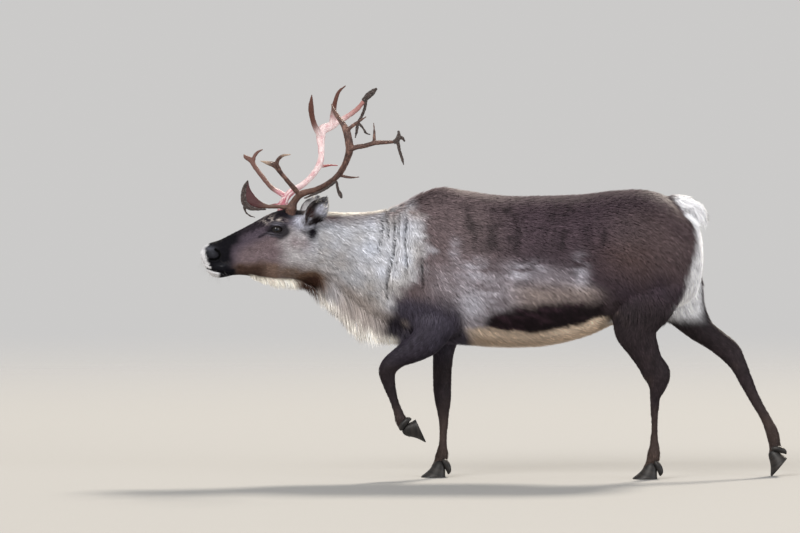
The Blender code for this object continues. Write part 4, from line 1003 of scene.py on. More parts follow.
def face_colours(points):
    """The dark face with its black muzzle, white lips, eye rims and pale cheek."""
    x, y, z = points.T
    wave = ripple(points, 40.0)
    fine = ripple(points, 240.0, (0.5, 1, 1)) + 0.5 * ripple(points, 120.0)
    face = FACE * (1 + 0.12 * fine)[:, None]
    ridge = curve(x, (-1100, 860), (-1020, 872), (-930, 915), (-830, 965), (-730, 985), (-600, 985))
    below = z - ridge
    face = over(face, CHEEK, step(below, -0.020, -0.075) * step(x, -1.00, -0.93), 1 + 0.14 * fine)
    low = step(z, 0.822 + 0.01 * wave, 0.785 + 0.01 * wave) * step(x, -1.0, -0.95)
    face = over(face, CHEEK_WARM, low * step(x, -0.77, -0.82) * 0.75, 1 + 0.15 * fine)
    face = over(face, CHEEK_LOW, low * step(x, -0.825, -0.885) * 0.85, 1 + 0.15 * fine)
    back_edge = -0.794 + 0.1 * (0.87 - z) + 0.012 * wave
    rear_cheek = step(x, back_edge - 0.040, back_edge + 0.040) * step(z, 0.965, 0.91)
    face = over(face, JAW_PALE, rear_cheek * (0.85 + 0.2 * wave), 1 + 0.14 * fine)
    jaw_angle = np.minimum(1.3 * blob(x, z, -0.765, 0.772, 0.055, 0.026), 1) * (0.85 + 0.10 * fine)
    face = over(face, CHEEK_WARM * 0.65, jaw_angle)
    face = over(face, TEMPLE, 0.85 * spots(x, z, TEMPLE_SPOTS), 1 + 0.2 * fine)
    face = over(face, FRINGE_AND_RIM_LIGHT, fringe_share(points))
    top = step(below, -0.012 + 0.006 * fine, 0.008 + 0.006 * fine)
    face = over(face, FOREHEAD, top * step(x, -1.0, -0.96), 1 + 0.30 * fine)
    grizzle = blob(x, z, -0.845, 0.975, 0.035, 0.018) * step(fine, 0.05, 0.55)
    face = over(face, BROW_PALE * 0.75, 0.8 * grizzle)
    crown = step(z, 0.968, 0.985) * window(x, -0.835, -0.81, -0.69, -0.72)
    face = over(face, EYE_DARK, crown * 0.9)
    muzzle_edge = curve(z, (770, -972), (790, -978), (830, -990), (870, -978), (890, -955))
    muzzle_edge = muzzle_edge + 0.012 * wave + 0.006 * fine
    face = over(face, MUZZLE, step(x, muzzle_edge + 0.030, muzzle_edge - 0.022))
    front_edge = curve(z, (780, -1062), (800, -1067), (820, -1076), (845, -1082), (865, -1079), (880, -1066))
    front_edge = front_edge + 0.004 * fine
    front = step(x, front_edge + 0.006, front_edge - 0.005) * window(z, 0.793, 0.797, 0.893, 0.872)
    face = over(face, WHITE * 0.95, front)
    chin_top = curve(x, (-1086, 792.5), (-1072, 787.5), (-1045, 779), (-1022, 775)) + 0.0015 * fine
    chin = step(x, -1.018, -1.036) * step(z, chin_top, chin_top - 0.006) * step(np.abs(y), 0.060, 0.035)
    chin = np.maximum(chin, step(x, -1.057, -1.066) * step(z, 0.798, 0.794))
    face = over(face, WHITE * 0.95, chin)
    lip = window(x, -1.032, -1.018, -0.962, -0.978) * step(z, 0.790, 0.783)
    face = over(face, MUZZLE, lip)
    # The line of the mouth is painted darker still: painted shade in the crease.
    face = over(face, MUZZLE * 0.7, step(distance_to(points, MOUTH), 0.0032, 0.0014))
    for side in (-1, 1):
        hole = nostril_ratio(points, side)
        this_side = (y * side > 0) * 1.0
        # The nostril's wing and the spot above it are partly grey hair, partly a painted highlight.
        wing = blob(x, z, *WING) * this_side
        face = over(face, NOSTRIL_GREY_AND_HIGHLIGHT * 0.42, wing * (0.75 + 0.30 * fine) * step(hole, 1.0, 2.0))
        lip_hair = blob(x, z, -1.018, 0.800, 0.022, 0.009) * this_side
        face = over(face, NOSTRIL_GREY_AND_HIGHLIGHT * 0.45, lip_hair * (0.50 + 0.40 * fine))
        above = blob(x, z, -1.066, 0.863, 0.020, 0.009) * this_side
        face = over(face, NOSTRIL_GREY_AND_HIGHLIGHT, above * (0.85 + 0.25 * fine) * step(hole, 1.1, 2.0))
        # The nostril's hole is painted darker still: painted shade.
        face = over(face, MUZZLE * 0.3, step(hole, 1.25, 0.85))
        along, upward, outward = eye_offsets(points, side)
        near = (outward > -0.02) * 1.0
        reach = np.sqrt(((along - 0.005) / 0.046) ** 2 + ((upward + 0.001) / 0.038) ** 2)
        face = over(face, EYE_DARK, 0.92 * step(reach + 0.12 * wave, 1.15, 0.70) * near)
        # The tear groove is painted dark: painted shade in the groove.
        face = over(face, EYE_DARK, 0.75 * step(distance_to(points, TEAR_GROOVE), 0.007, 0.002) * this_side)
        fleck = spots(along, upward, BROW_FLECKS)
        face = over(face, BROW_PALE, 0.75 * fleck * near * step(fine, -0.5, 0.4))
        face = over(face, LID_GREY, 0.8 * spots(along, upward, LID_RIMS) * near)
    return face


def ear_tuft_share(points):
    """How far points belong to the pale tufts in front of the ears."""
    x, y, z = points.T
    return np.minimum(1.5 * blob(x, z, -0.717, 0.961, 0.029, 0.029), 1) * step(np.abs(y), 0.030, 0.045)


def markings(points):
    """The coat's colour at points of the straight animal."""
    colour = rear_colours(points, neck_colours(points, trunk_colours(points)))
    # Painted shade in the creases of the hide.
    colour = colour * (1 - crease_share(points)[0])[:, None]
    wave = ripple(points, 40.0)
    head = step(points[:, 0], -0.640 + 0.02 * wave, -0.735 + 0.02 * wave)
    colour = over(colour, face_colours(points), head)
    fine = ripple(points, 300.0)
    share, along, inside, rim = ear_share(points)
    ear = over(EAR_BACK, EAR_TUFT, step(along, 0.45, 0.15) * 0.9)
    x, _, z = points.T
    ear = over(ear, EAR_RIM, rim * (0.85 + 0.2 * fine))
    ear = over(ear, EAR_INSIDE, inside)
    opening = np.maximum(inside, rim)
    ear = over(ear, EAR_RED, 1.2 * opening * blob(x, z, -0.686, 0.996, 0.014, 0.018))
    lobe = 1.5 * opening * blob(x, z, -0.650, 1.013, 0.018, 0.020)
    ear = over(ear, EAR_LOBE, lobe, 1 + 0.20 * fine)
    ear = over(ear, EAR_RIM, 1.5 * blob(x, z, -0.659, 0.960, 0.026, 0.018))
    ear = over(ear, EAR_RIM, blob(x, z, -0.683, 1.043, 0.022, 0.012))
    colour = over(colour, ear, share)
    colour = over(colour, EAR_TUFT, ear_tuft_share(points) * (1 - share), 1 + 0.15 * fine)
    below_ear = blob(x, z, -0.684, 0.924, 0.018, 0.028) * (1.7 + 0.5 * fine + 0.5 * wave)
    colour = over(colour, EYE_DARK, below_ear * (1 - share))
    fringe = fringe_share(points) * step(x, -0.70, -0.75)
    throat = np.minimum(1.7 * blob(x, z, -0.688, 0.746, 0.066, 0.036), 1) * (1 - fringe)
    colour = over(colour, THROAT, throat, 1 + 0.2 * fine)
    darkest = np.minimum(1.7 * blob(x, z, -0.674, 0.735, 0.042, 0.026), 1)
    return over(colour, THROAT_DARK, throat * darkest)


def store(mesh, name, values):
    """Keeps a number, a direction or a colour with alpha for every point of a mesh."""
    values = np.asarray(values, np.float32)
    kinds = {3: ("FLOAT_VECTOR", "vector"), 4: ("FLOAT_COLOR", "color")}
    kind, field = kinds[values.shape[1]] if values.ndim > 1 else ("FLOAT", "value")
    mesh.attributes.new(name, kind, "POINT").data.foreach_set(field, values.ravel())


def store_coat(mesh, colours):
    """Keeps the coat's colour for every point of a mesh."""
    store(mesh, "coat_colour", np.insert(np.clip(colours, 0.001, 1), 3, 1, axis=1))


def coat_colour(wire, value):
    """The coat's stored colour, made lighter or darker by a value."""
    grey = wire.add("ShaderNodeCombineColor", {}, {"Red": value, "Green": value, "Blue": value})
    return wire.mix(1.0, wire.attribute("coat_colour", "Color"), grey, "MULTIPLY")


skin_points = coordinates_of(skin.data)
store_coat(skin.data, markings(skin_points))
hide, shader, wire = new_finish("hide_under_hair", {"Roughness": 0.75, "Specular IOR Level": 0.15})
short_hair = wire.noise(900.0, 2.0, 0.6, wire.stretched(wire.coordinates(), (0.35, 1.0, 0.8)))
mottle = wire.noise(90.0, 3.0)
feed(shader, coat_colour(wire, 0.45 + short_hair * 0.35 + mottle * 0.3), "Base Color")
feed(shader, wire.bump(short_hair, 0.0012, 0.8), "Normal")
skin.data.materials.append(hide)

# Coat: short guard hair in fine bent tufts that lie back along the body, rooted all over the skin.
# Each tuft is a closed three-sided sliver, drawn together with its neighbours into small locks,
# longer and denser on the trunk, smallest on face and feet.
TUFT_PATCH = 0.003
# The way the hair lies: x, then how far it runs back and up there
LIES = metres([
    (-1100, 900, 300), (-900, 880, 100), (-760, 900, -150), (-600, 800, -450), (-350, 660, -700),
    (-100, 800, -520), (400, 880, -380), (620, 660, -660), (780, 250, -950),
])
WIDEST_AT = 0.36
SHORT_RINGS, LONG_RINGS = (WIDEST_AT,), (0.18, 0.50, 0.80)
CREST_SHARE, EDGE_TILT = 0.35, 0.45
TAIL_FAN_Z = 1.060
ROOT_DEPTH = 0.0015
MARK_REACH = 0.8
NECK_PARTING, BACK_PARTING = 0.70, 0.12
LIE_WAVES = 0.22
LOCK_PULL = 0.45
SHORTEST_CUT = 0.25
LOCK_SHADES, HAIR_SHADES = 0.10, 0.12
HAIR_ROUGHNESS = 0.58

skin.data.calc_loop_triangles()
triangles = read(skin.data.loop_triangles, "vertices", 3, np.int32)
triangle_loops = read(skin.data.loop_triangles, "loops", 3, np.int32)
triangle_uv = read(skin.data.uv_layers["OFBake"].data, "uv", 2)[triangle_loops]
skin_normals = normals_of(skin.data)
corners = skin_points[triangles]
areas = np.linalg.norm(np.cross(corners[:, 1] - corners[:, 0], corners[:, 2] - corners[:, 0]), axis=1) / 2
centres = corners.mean(1)


def unit(vectors):
    return vectors / np.maximum(np.linalg.norm(vectors, axis=1), 1e-9)[:, None]


def scattered(mask, per_square_metre, chance):
    """Even random roots on the skin: places, normals and places on the unwrap."""
    chosen = np.nonzero(mask)[0]
    wanted = areas[chosen] * np.broadcast_to(per_square_metre, areas.shape)[chosen]
    count = np.floor(wanted + chance.random(len(chosen))).astype(int)
    which = np.repeat(chosen, count)
    a, b = chance.random(len(which)), chance.random(len(which))
    flip = a + b > 1
    a, b = np.where(flip, 1 - a, a), np.where(flip, 1 - b, b)
    weights = np.stack([1 - a - b, a, b], 1)[:, :, None]
    places = (skin_points[triangles[which]] * weights).sum(1)
    normals = unit((skin_normals[triangles[which]] * weights).sum(1))
    return places, normals, (triangle_uv[which] * weights).sum(1)


def lie_of_hair(points, normals):
    """The way that hair lies along the skin."""
    x, y, z = points.T
    back, up = np.interp(x, LIES[:, 0], LIES[:, 1]), np.interp(x, LIES[:, 0], LIES[:, 2])
    up = up - 0.30 * step(z, 0.90, 0.62) * step(x, -0.68, -0.50) + 1.1 * ear_tuft_share(points)
    way = np.stack([back, 0 * x, up], 1)
    share, _, run = leg_share(points)
    way = over(way, run, share * step(z, 0.70, 0.56))
    for side in (-1, 1):
        way = over(way, ear_axes(side)[1], ear_share(points)[0] * (y * side > 0))
    tail = step(x, 0.68, 0.70) * step(z, 0.95, 0.98) * step(np.abs(y), 0.06, 0.045)
    way = over(way, np.stack([0.9 + 0 * x, 4.0 * y, 6.5 * (z - TAIL_FAN_Z)], 1), tail)
    return unit(way - normals * (way * normals).sum(1)[:, None])


def cut_at_creases(length, roots, lie, chance):
    """Shortens many of the hairs that would bridge a crease of the hide."""
    for crease in CREASES:
        before, reached = crease_line(crease, roots)
        after, _ = crease_line(crease, roots + lie * length[:, None])
        parted = chance.random(len(roots)) < (NECK_PARTING if crease[0] < 0 else BACK_PARTING)
        crosses = (before < 0) & (after > 0) & (reached > 0.3) & parted
        kept = np.maximum(before / np.minimum(before - after, -1e-6), SHORTEST_CUT)
        length = np.where(crosses, length * kept, length)
    return length


def locks_of(roots, lock_size):
    """The lock that each root belongs to, and the middle of every lock."""
    shift = np.stack([ripple(roots + k, 0.7 / lock_size) for k in (0.0, 1.7, 3.1)], 1)
    cells = np.floor(roots / lock_size + 0.5 * shift).astype(int)
    lock = np.unique(cells, axis=0, return_inverse=True)[1].ravel()
    total = np.stack([np.bincount(lock, roots[:, axis]) for axis in range(3)], 1)
    return lock, total / np.bincount(lock)[:, None]


def tuft_faces(rings, total):
    """The triangles of one closed tuft: root, three-sided rings, tip."""
    faces = [(0, 1 + (j + 1) % 3, 1 + j) for j in range(3)]
    for a in range(1, 3 * rings - 2, 3):
        for j in range(3):
            k = (j + 1) % 3
            faces += [(a + j, a + 3 + k, a + 3 + j), (a + j, a + k, a + 3 + k)]
    last = total - 4
    return np.array(faces + [(last + j, last + (j + 1) % 3, total - 1) for j in range(3)])


def coat_mesh(name, faces, vertices, facing, colours):
    """The mesh of many tufts that are alike, and the points at the corners of its faces."""
    count, total = vertices.shape[:2]
    corner = (faces[None] + total * np.arange(count)[:, None, None]).reshape(-1)
    vertices, facing = vertices.reshape(-1, 3), facing.reshape(-1, 3)
    mesh = bpy.data.meshes.new(name)
    mesh.vertices.add(count * total)
    mesh.loops.add(len(corner))
    mesh.polygons.add(len(corner) // 3)
    mesh.vertices.foreach_set("co", turned(vertices).astype(np.float32).ravel())
    mesh.loops.foreach_set("vertex_index", corner.astype(np.int32))
    mesh.polygons.foreach_set("loop_start", np.arange(0, len(corner), 3, dtype=np.int32))
    mesh.polygons.foreach_set("use_smooth", np.ones(len(corner) // 3, bool))
    mesh.update(calc_edges=True)
    ways = unit(turned(vertices + facing * 0.001) - turned(vertices))
    mesh.normals_split_custom_set_from_vertices(ways)
    store_coat(mesh, colours.reshape(-1, 3))
    return mesh, corner


def grow_coat(name, finish, where, size, chance, rings=SHORT_RINGS, spread=0.10, lock_size=0.012, lit=0.0):
    """One piece of coat. Size holds each tuft's length, width, lift from the skin and hang, in metres."""
    roots, normals, root_uv = where
    length, width, lift, hang = size
    count = len(roots)
    lie = lie_of_hair(roots, normals)
    side = np.cross(normals, lie)
    swing = chance.normal(0, spread, count) + LIE_WAVES * (ripple(roots, 9.0) + 0.6 * ripple(roots, 25.0))
    lie = unit(lie + side * swing[:, None])
    side = unit(np.cross(normals, lie))
    length = length * chance.uniform(0.70, 1.2, count)
    width = width * chance.uniform(0.8, 1.2, count)
    lift = lift * chance.uniform(0.5, 1.4, count)
    length = cut_at_creases(length, roots, lie, chance)
    lock, middles = locks_of(roots, lock_size)
    inwards = (middles[lock] - roots) * LOCK_PULL
    inwards -= lie * (inwards * lie).sum(1)[:, None]
    shade = chance.normal(0, LOCK_SHADES, len(middles))[lock] + chance.normal(0, HAIR_SHADES, count)
    total = len(rings) * 3 + 2
    outwards = unit(normals + lit * np.stack([0 * length, np.sign(roots[:, 1]), 0.6 + 0 * length], 1))
    vertices, facing = np.zeros((count, total, 3)), np.repeat(outwards[:, None, :], total, axis=1)
    patch, place = np.zeros((total, 2)), np.zeros(total)
    colours = np.zeros((count, total, 3))
    for i, t in enumerate((0.0, *rings, 1.0)):
        rise = lift * (1 - (1 - t) ** 2)
        flat = np.sqrt(np.maximum((length * t) ** 2 - rise**2, 0)) - 0.5 * hang * t * t
        centre = roots + lie * flat[:, None] + normals * (rise - ROOT_DEPTH * (1 - t))[:, None]
        centre += inwards * t * t
        centre[:, 2] -= hang * t**1.5
        colour = markings(roots + lie * (length * t * MARK_REACH)[:, None]) * np.exp(shade)[:, None]
        if t in (0.0, 1.0):
            index = 0 if t == 0.0 else -1
            vertices[:, index], colours[:, index] = centre, colour
            patch[index], place[index] = (0.0, t - 0.5), t
            continue
        profile = min(1.0, (t / WIDEST_AT) ** 0.5) * min(1.0, ((1 - t) / (1 - WIDEST_AT)) ** 0.6)
        half = side * (width * profile / 2)[:, None]
        crest = normals * (width * profile * CREST_SHARE)[:, None]
        for j, offset in enumerate((half, crest, -half)):
            k = 1 + 3 * (i - 1) + j
            vertices[:, k], colours[:, k] = centre + offset, colour
            facing[:, k] = unit(outwards + side * EDGE_TILT * (1 - j))
            patch[k], place[k] = ((j - 1) / 2, t - 0.5), t
    mesh, corner = coat_mesh(name, tuft_faces(len(rings), total), vertices, facing, colours)
    uv = (root_uv[:, None, :] + TUFT_PATCH * patch[None]).reshape(-1, 2)[corner]
    mesh.uv_layers.new(name="OFBake").data.foreach_set("uv", uv.astype(np.float32).ravel())
    store(mesh, "along_hair", np.tile(place, count))
    store(mesh, "odd_hair", np.repeat(chance.random(count), total))
    mesh.materials.append(finish)
    obj = linked(name, mesh)
    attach(obj, "root")
    return obj


def hair_finish(name, specular, root_value, tip_value, pale_hairs, painted_glow=0.0):
    """Hair with painted shade at the root, a lighter tip, a few odd pale hairs, and a painted glow if one is
    given.
    """
    made, shader, wire = new_finish(name, {"Roughness": HAIR_ROUGHNESS, "Specular IOR Level": specular})
    along = wire.attribute("along_hair")
    odd = wire.attribute("odd_hair")
    # Painted shade: each hair is darker at its root, where the coat shades it, and lighter towards its tip.
    value = root_value + along * (tip_value - root_value) + odd.between(1 - pale_hairs, 1.0) * 0.8
    strand = wire.noise(2200.0, 2.0, 0.6, wire.stretched(wire.coordinates(), (0.12, 1.0, 0.5)))
    colour = coat_colour(wire, value * (0.75 + strand * 0.5))
    feed(shader, colour, "Base Color")
    # A painted glow: the hair shines in its own colour as if lit through.
    if painted_glow:
        feed(shader, colour, "Emission Color")
        shader.inputs["Emission Strength"].default_value = painted_glow
    return made


guard_hair = hair_finish("guard_hair", 0.16, 0.72, 1.18, 0.10)
face_hair = hair_finish("face_hair", 0.05, 0.88, 1.08, 0.06)
# The long pale hair of the mane and tail has a faint painted glow.
long_hair = hair_finish("long_pale_hair", 0.16, 0.76, 1.10, 0.05, 0.14)

# Where the head, the neck, the front of the trunk and the forelegs end
HEAD_X, NECK_X, MIDDLE_X, LEGS_X = -0.665, -0.270, 0.230, 0.200
TRUNK_DENSITY = 66000

at_x, at_y, at_z = centres.T
legs_here = leg_share(centres)[0] * step(at_z, 0.70, 0.58)
ears_here = ear_share(centres)[0]
on_tail = (at_x > 0.690) & (at_z > 0.975) & (np.abs(at_y) < 0.045)
on_head = (at_x < HEAD_X) & ~on_tail
on_leg = (legs_here > 0.5) & (at_z < 0.60)
on_neck = (at_x >= HEAD_X) & (at_x < NECK_X) & ~on_leg
on_trunk = (at_x >= NECK_X) & ~on_leg & ~on_tail
halves = {"left": at_y < 0, "right": at_y >= 0}


def plant(name, finish, mask, per_square_metre, seed, size_at, **style):
    """Scatters roots over part of the skin and grows one piece of coat from them."""
    chance = np.random.default_rng(seed)
    where = scattered(mask, per_square_metre, chance)
    grow_coat(name, finish, where, size_at(where[0]), chance, **style)


def trunk_size(points):
    """Length, width, lift and hang of the hair rooted at points, as for every piece below."""
    x, _, z = points.T
    length = curve(x, (-270, 36), (0, 30), (600, 30), (780, 36))
    length = length + 0.012 * step(z, 0.60, 0.52)
    return length, 0.0034, curve(z, (500, 15), (600, 11), (1000, 11), (1100, 12)), 0.002


quarters = {"fore": at_x < MIDDLE_X, "hind": at_x >= MIDDLE_X}
trunk_parts = [(quarter, half) for quarter in quarters for half in halves]
for seed, (quarter, half) in enumerate(trunk_parts, start=21):
    here = on_trunk & quarters[quarter] & halves[half]
    plant(f"coat_{quarter}quarters_{half}", guard_hair, here, TRUNK_DENSITY, seed, trunk_size)


# Neck: longer, softer hair that stands a little off the skin. It parts along the creases and gathers
# into wider locks than on the trunk.
NECK_DENSITY = 100000
NECK_STYLE = {"spread": 0.15, "lock_size": 0.015}


def neck_size(points):
    length = curve(points[:, 0], (-665, 22), (-550, 36), (-270, 40))
    return length, 0.0034, 0.36 * length, 0.004


for half, seed in (("left", 31), ("right", 37)):
    here = on_neck & halves[half]
    plant(f"coat_neck_{half}", guard_hair, here, NECK_DENSITY, seed, neck_size, **NECK_STYLE)


# Face: very short hair that lies back from the nose, finest and densest on the muzzle. None grows in
# the nostrils, along the line of the mouth and on the rims of the lids.
FACE_DENSITY = np.array([(-1.10, 200000), (-0.95, 150000), (-0.80, 110000), (-0.66, 90000)])


def face_size(points):
    x, _, z = points.T
    length = curve(x, (-1100, 4.5), (-1000, 6), (-880, 9), (-780, 12), (-700, 18), (-660, 22))
    tuft = ear_tuft_share(points)
    length = length * (1 + 0.9 * blob(x, z, -0.785, 0.992, 0.032, 0.022)) + 0.012 * tuft
    for side in (-1, 1):
        along, upward, outward = eye_offsets(points, side)
        close = np.sqrt((along / 0.040) ** 2 + (upward / 0.030) ** 2)
        length = length * (1 - 0.50 * step(close, 1.1, 0.7) * (outward > -0.02))
    return length, 0.0010 + 0.060 * length, (0.20 + 0.25 * tuft) * length, 0.0


bare = np.zeros(len(centres), bool)
for side in (-1, 1):
    along, upward, outward = eye_offsets(centres, side)
    bare |= (np.sqrt((along / 0.0225) ** 2 + (upward / 0.0148) ** 2) < 1) & (outward > -0.02)
    bare |= nostril_ratio(centres, side) < 1.0
bare |= distance_to(centres, MOUTH) < 0.0016
here = on_head & ~bare & (ears_here < 0.5)
plant("coat_head", face_hair, here, along_curve(at_x, FACE_DENSITY), 32, face_size, lock_size=0.007)


# Hair of the ears: short outside, longer and more upright inside the cup. It runs from the root to the
# tip of the ear.
EAR_DENSITY = 330000


def ear_size(points):
    _, along, inside, _ = ear_share(points)
    length = 0.012 + 0.007 * inside + 0.004 * step(along, 0.35, 0.10)
    return length, 0.0015, (0.15 + 0.40 * inside) * length, 0.0


here = (ears_here > 0.4) & on_head
plant("coat_ears", face_hair, here, EAR_DENSITY, 33, ear_size, spread=0.22, lock_size=0.006)


# Hair of the legs: short and close down to the hooves, a little longer just above them. It follows the
# bones of the leg.
LEG_DENSITY = 100000


def leg_size(points):
    low = np.zeros(len(points))
    for rows in LEGS.values():
        low = np.maximum(low, step(np.linalg.norm(points - rows[-1, :3], axis=1), 0.10, 0.04))
    length = curve(points[:, 2], (200, 10), (450, 15), (600, 26)) + 0.008 * low
    return length, 0.0008 + 0.07 * length, 0.20 * length, 0.0


for legs, here, seed in (("forelegs", at_x < LEGS_X, 34), ("hindlegs", at_x >= LEGS_X, 38)):
    plant(f"coat_{legs}", guard_hair, on_leg & here, LEG_DENSITY, seed, leg_size, lock_size=0.009)


# Mane: long soft locks of pale hair that hang back and down, from a short fringe under the jaw to the
# beard of the throat and the brisket. They stand out from the skin and catch the light.
# Length of the hair at x, how far it hangs as a share of that, and the line that it grows up to
MANE_LENGTHS = metres([(-910, 16), (-840, 36), (-720, 44), (-640, 88), (-550, 110), (-450, 78), (-335, 46)])
MANE_HANGS = metres([
    (-910, 750), (-840, 750), (-720, 700), (-640, 750), (-550, 800), (-450, 600), (-335, 450)
])
MANE_TOP = metres([
    (-900, 817), (-820, 800), (-720, 800), (-580, 728), (-490, 663), (-400, 612), (-330, 590)
])
MANE_END_X = -0.335
MANE_DENSITY = 62000
MANE_STYLE = {"rings": LONG_RINGS, "spread": 0.16, "lock_size": 0.024, "lit": 1.6}


def mane_size(points):
    x = points[:, 0]
    length = along_curve(x, MANE_LENGTHS) * (1 + 0.25 * ripple(points, 42.0))
    return length, 0.0042, 0.16 * length, along_curve(x, MANE_HANGS) * length


on_mane = on_neck & (at_z < along_curve(at_x, MANE_TOP)) & (at_x < MANE_END_X)
on_mane |= on_head & (fringe_share(centres) > 0.4)
plant("throat_mane", long_hair, on_mane, MANE_DENSITY, 35, mane_size, **MANE_STYLE)


# Tail: a flat brush of white hair that fans out behind the short dock and is carried level, with
# loose wisps at its end. It grows out of the white hair of the rump.
TAIL_TIP_X = (0.735, 0.762)
TAIL_DENSITY = 210000
TAIL_STYLE = {"rings": LONG_RINGS, "spread": 0.12, "lock_size": 0.018, "lit": 0.1}


def tail_size(points):
    x = points[:, 0]
    length = curve(x, (680, 36), (730, 52), (775, 60))
    end = step(x, *TAIL_TIP_X)
    return length, 0.0030, (0.22 + 0.34 * end) * length, (0.06 + 0.42 * end) * length


plant("tail_hair", long_hair, on_tail, TAIL_DENSITY, 36, tail_size, **TAIL_STYLE)

set_coordinates(skin.data, turned(skin_points))
FLESH_NODES = ["torso", "neck", "head", "ear_left", "ear_right", "tail"]
FLESH_NODES += [f"{leg}_{half}" for leg in LEGS for half in ("upper", "lower")]
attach(skin, "root")
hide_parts(*FLESH_NODES)

# Eyes: dark glossy balls with a brown iris and a level slit of a pupil. A clear wet front bulges over
# the iris.
IRIS_COLOUR = (0.0050, 0.0030, 0.0024, 1)
# The faint blue of the pupil is a painted reflection.
PUPIL_COLOUR = (0.0020, 0.0030, 0.0080, 1)
BALL_COLOUR = (0.0060, 0.0040, 0.0036, 1)
IRIS_HALF = 0.0125
PUPIL_HALF = (0.0085, 0.0050)
WET_BULGE = 0.0012

eye_finish, shader, wire = new_finish(
    "eye", {"Roughness": 0.08, "IOR": 1.38, "Coat Roughness": 0.02, "Specular IOR Level": 0.15}
)
iris_mask = wire.attribute("iris")
fibres = wire.noise(900.0, 3.0)
iris = wire.mix(fibres.between(0.45, 0.75), IRIS_COLOUR, (0.016, 0.009, 0.006, 1))
ball = wire.mix(iris_mask, BALL_COLOUR, iris)
feed(shader, wire.mix(wire.attribute("pupil"), ball, PUPIL_COLOUR), "Base Color")
feed(shader, 0.35 + iris_mask * 0.20, "Coat Weight")
for side, node in EYE_NODES.items():
    low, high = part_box(node)
    centre = (low + high) / 2
    bm = bmesh.new()
    bmesh.ops.create_uvsphere(bm, u_segments=56, v_segments=36, radius=EYE_RADIUS)
    outward = Vector((0, side, 0))
    iris_at, pupil_at = [], []
    for vert in bm.verts:
        u, v = vert.co.x, vert.co.z
        front = vert.co.dot(outward) > 0
        reach = math.hypot(u, v)
        iris_at.append(float(step(np.array(reach), IRIS_HALF + 0.001, IRIS_HALF - 0.001)) if front else 0.0)
        slit = math.hypot(u / PUPIL_HALF[0], v / PUPIL_HALF[1])
        pupil_at.append(float(step(np.array(slit), 1.12, 0.92)) if front else 0.0)
        if front:
            vert.co += outward * WET_BULGE * max(0.0, 1 - (reach / IRIS_HALF) ** 2)
        vert.co += centre
    eye = to_object(f"{node}_ball", bm)
    store(eye.data, "iris", iris_at)
    store(eye.data, "pupil", pupil_at)
    eye.data.shade_smooth()
    eye.data.materials.append(eye_finish)
    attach(eye, "root")
    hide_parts(node)

# Lashes and whiskers: single stiff hairs. Short dark lashes stand out from the upper lids, and long
# thin feelers spread from the lips and the chin, each from its own root in the skin.
# Count or roots to the square metre, length, half thickness and how far the tip droops
LASHES = (34, 0.0125, 0.00035, 0.45)
WHISKERS = (3000, 0.023, 0.00019, 0.40)


def bristle_tree():
    """A node tree that grows one tapered, drooping hair from every point, the way that the point says."""
    tree = bpy.data.node_groups.new("bristles", "GeometryNodeTree")
    sockets = {"Geometry": "Geometry", "Thickness": "Float", "Droop": "Float", "Finish": "Material"}
    for name, kind in sockets.items():
        tree.interface.new_socket(name, in_out="INPUT", socket_type=f"NodeSocket{kind}")
    tree.interface.new_socket("Geometry", in_out="OUTPUT", socket_type="NodeSocketGeometry")
    given, wire = tree.nodes.new("NodeGroupInput"), Wire(tree)
    points, thickness, droop, finish = (Wire(tree, given.outputs[name]) for name in sockets)
    way = wire.add("GeometryNodeInputNamedAttribute", {"data_type": "FLOAT_VECTOR"}, {"Name": "way"})
    reach = wire.add("GeometryNodeInputNamedAttribute", {"data_type": "FLOAT"}, {"Name": "reach"})
    turn = wire.add("FunctionNodeAlignRotationToVector", {"axis": "Z"}, {"Vector": way})
    line = wire.add("GeometryNodeCurvePrimitiveLine", {}, {"End": (0, 0, 1)})
    line = wire.add("GeometryNodeResampleCurve", {}, {"Curve": line, "Count": 7})
    sockets = {"Points": points, "Instance": line, "Rotation": turn, "Scale": reach}
    hairs = wire.add("GeometryNodeInstanceOnPoints", {}, sockets)
    hairs = wire.add("GeometryNodeRealizeInstances", {}, {"Geometry": hairs})
    along = wire.add("GeometryNodeSplineParameter")
    fall = wire.add("ShaderNodeCombineXYZ", {}, {"Z": along * along * droop * reach * -1})
    hairs = wire.add("GeometryNodeSetPosition", {}, {"Geometry": hairs, "Offset": fall})
    taper = thickness * (1 - along * 0.85)
    ring = wire.add("GeometryNodeCurvePrimitiveCircle", {}, {"Resolution": 5, "Radius": 1.0})
    sockets = {"Curve": hairs, "Profile Curve": ring, "Scale": taper, "Fill Caps": True}
    hairs = wire.add("GeometryNodeCurveToMesh", {}, sockets)
    hairs = wire.add("GeometryNodeRealizeInstances", {}, {"Geometry": hairs})
    hairs = wire.add("GeometryNodeSetMaterial", {}, {"Geometry": hairs, "Material": finish})
    tree.links.new(hairs.socket, tree.nodes.new("NodeGroupOutput").inputs[0])
    return tree


def grow_bristles(name, roots, ways, reach, thickness, droop, finish):
    """Plain hairs from roots on the straight animal, turned with the head."""
    mesh = bpy.data.meshes.new(name)
    mesh.from_pydata(turned(roots).tolist(), [], [])
    ways = unit(turned(roots + ways * 0.001) - turned(roots))
    store(mesh, "way", ways)
    store(mesh, "reach", reach)
    obj = linked(name, mesh)
    grow = obj.modifiers.new("bristles", "NODES")
    grow.node_group = BRISTLE_TREE
    values = {"Thickness": thickness, "Droop": droop, "Finish": finish}
    for socket in BRISTLE_TREE.interface.items_tree:
        if socket.in_out == "INPUT" and socket.name in values:
            grow[socket.identifier] = values[socket.name]
    baked(obj)
    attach(obj, "root")


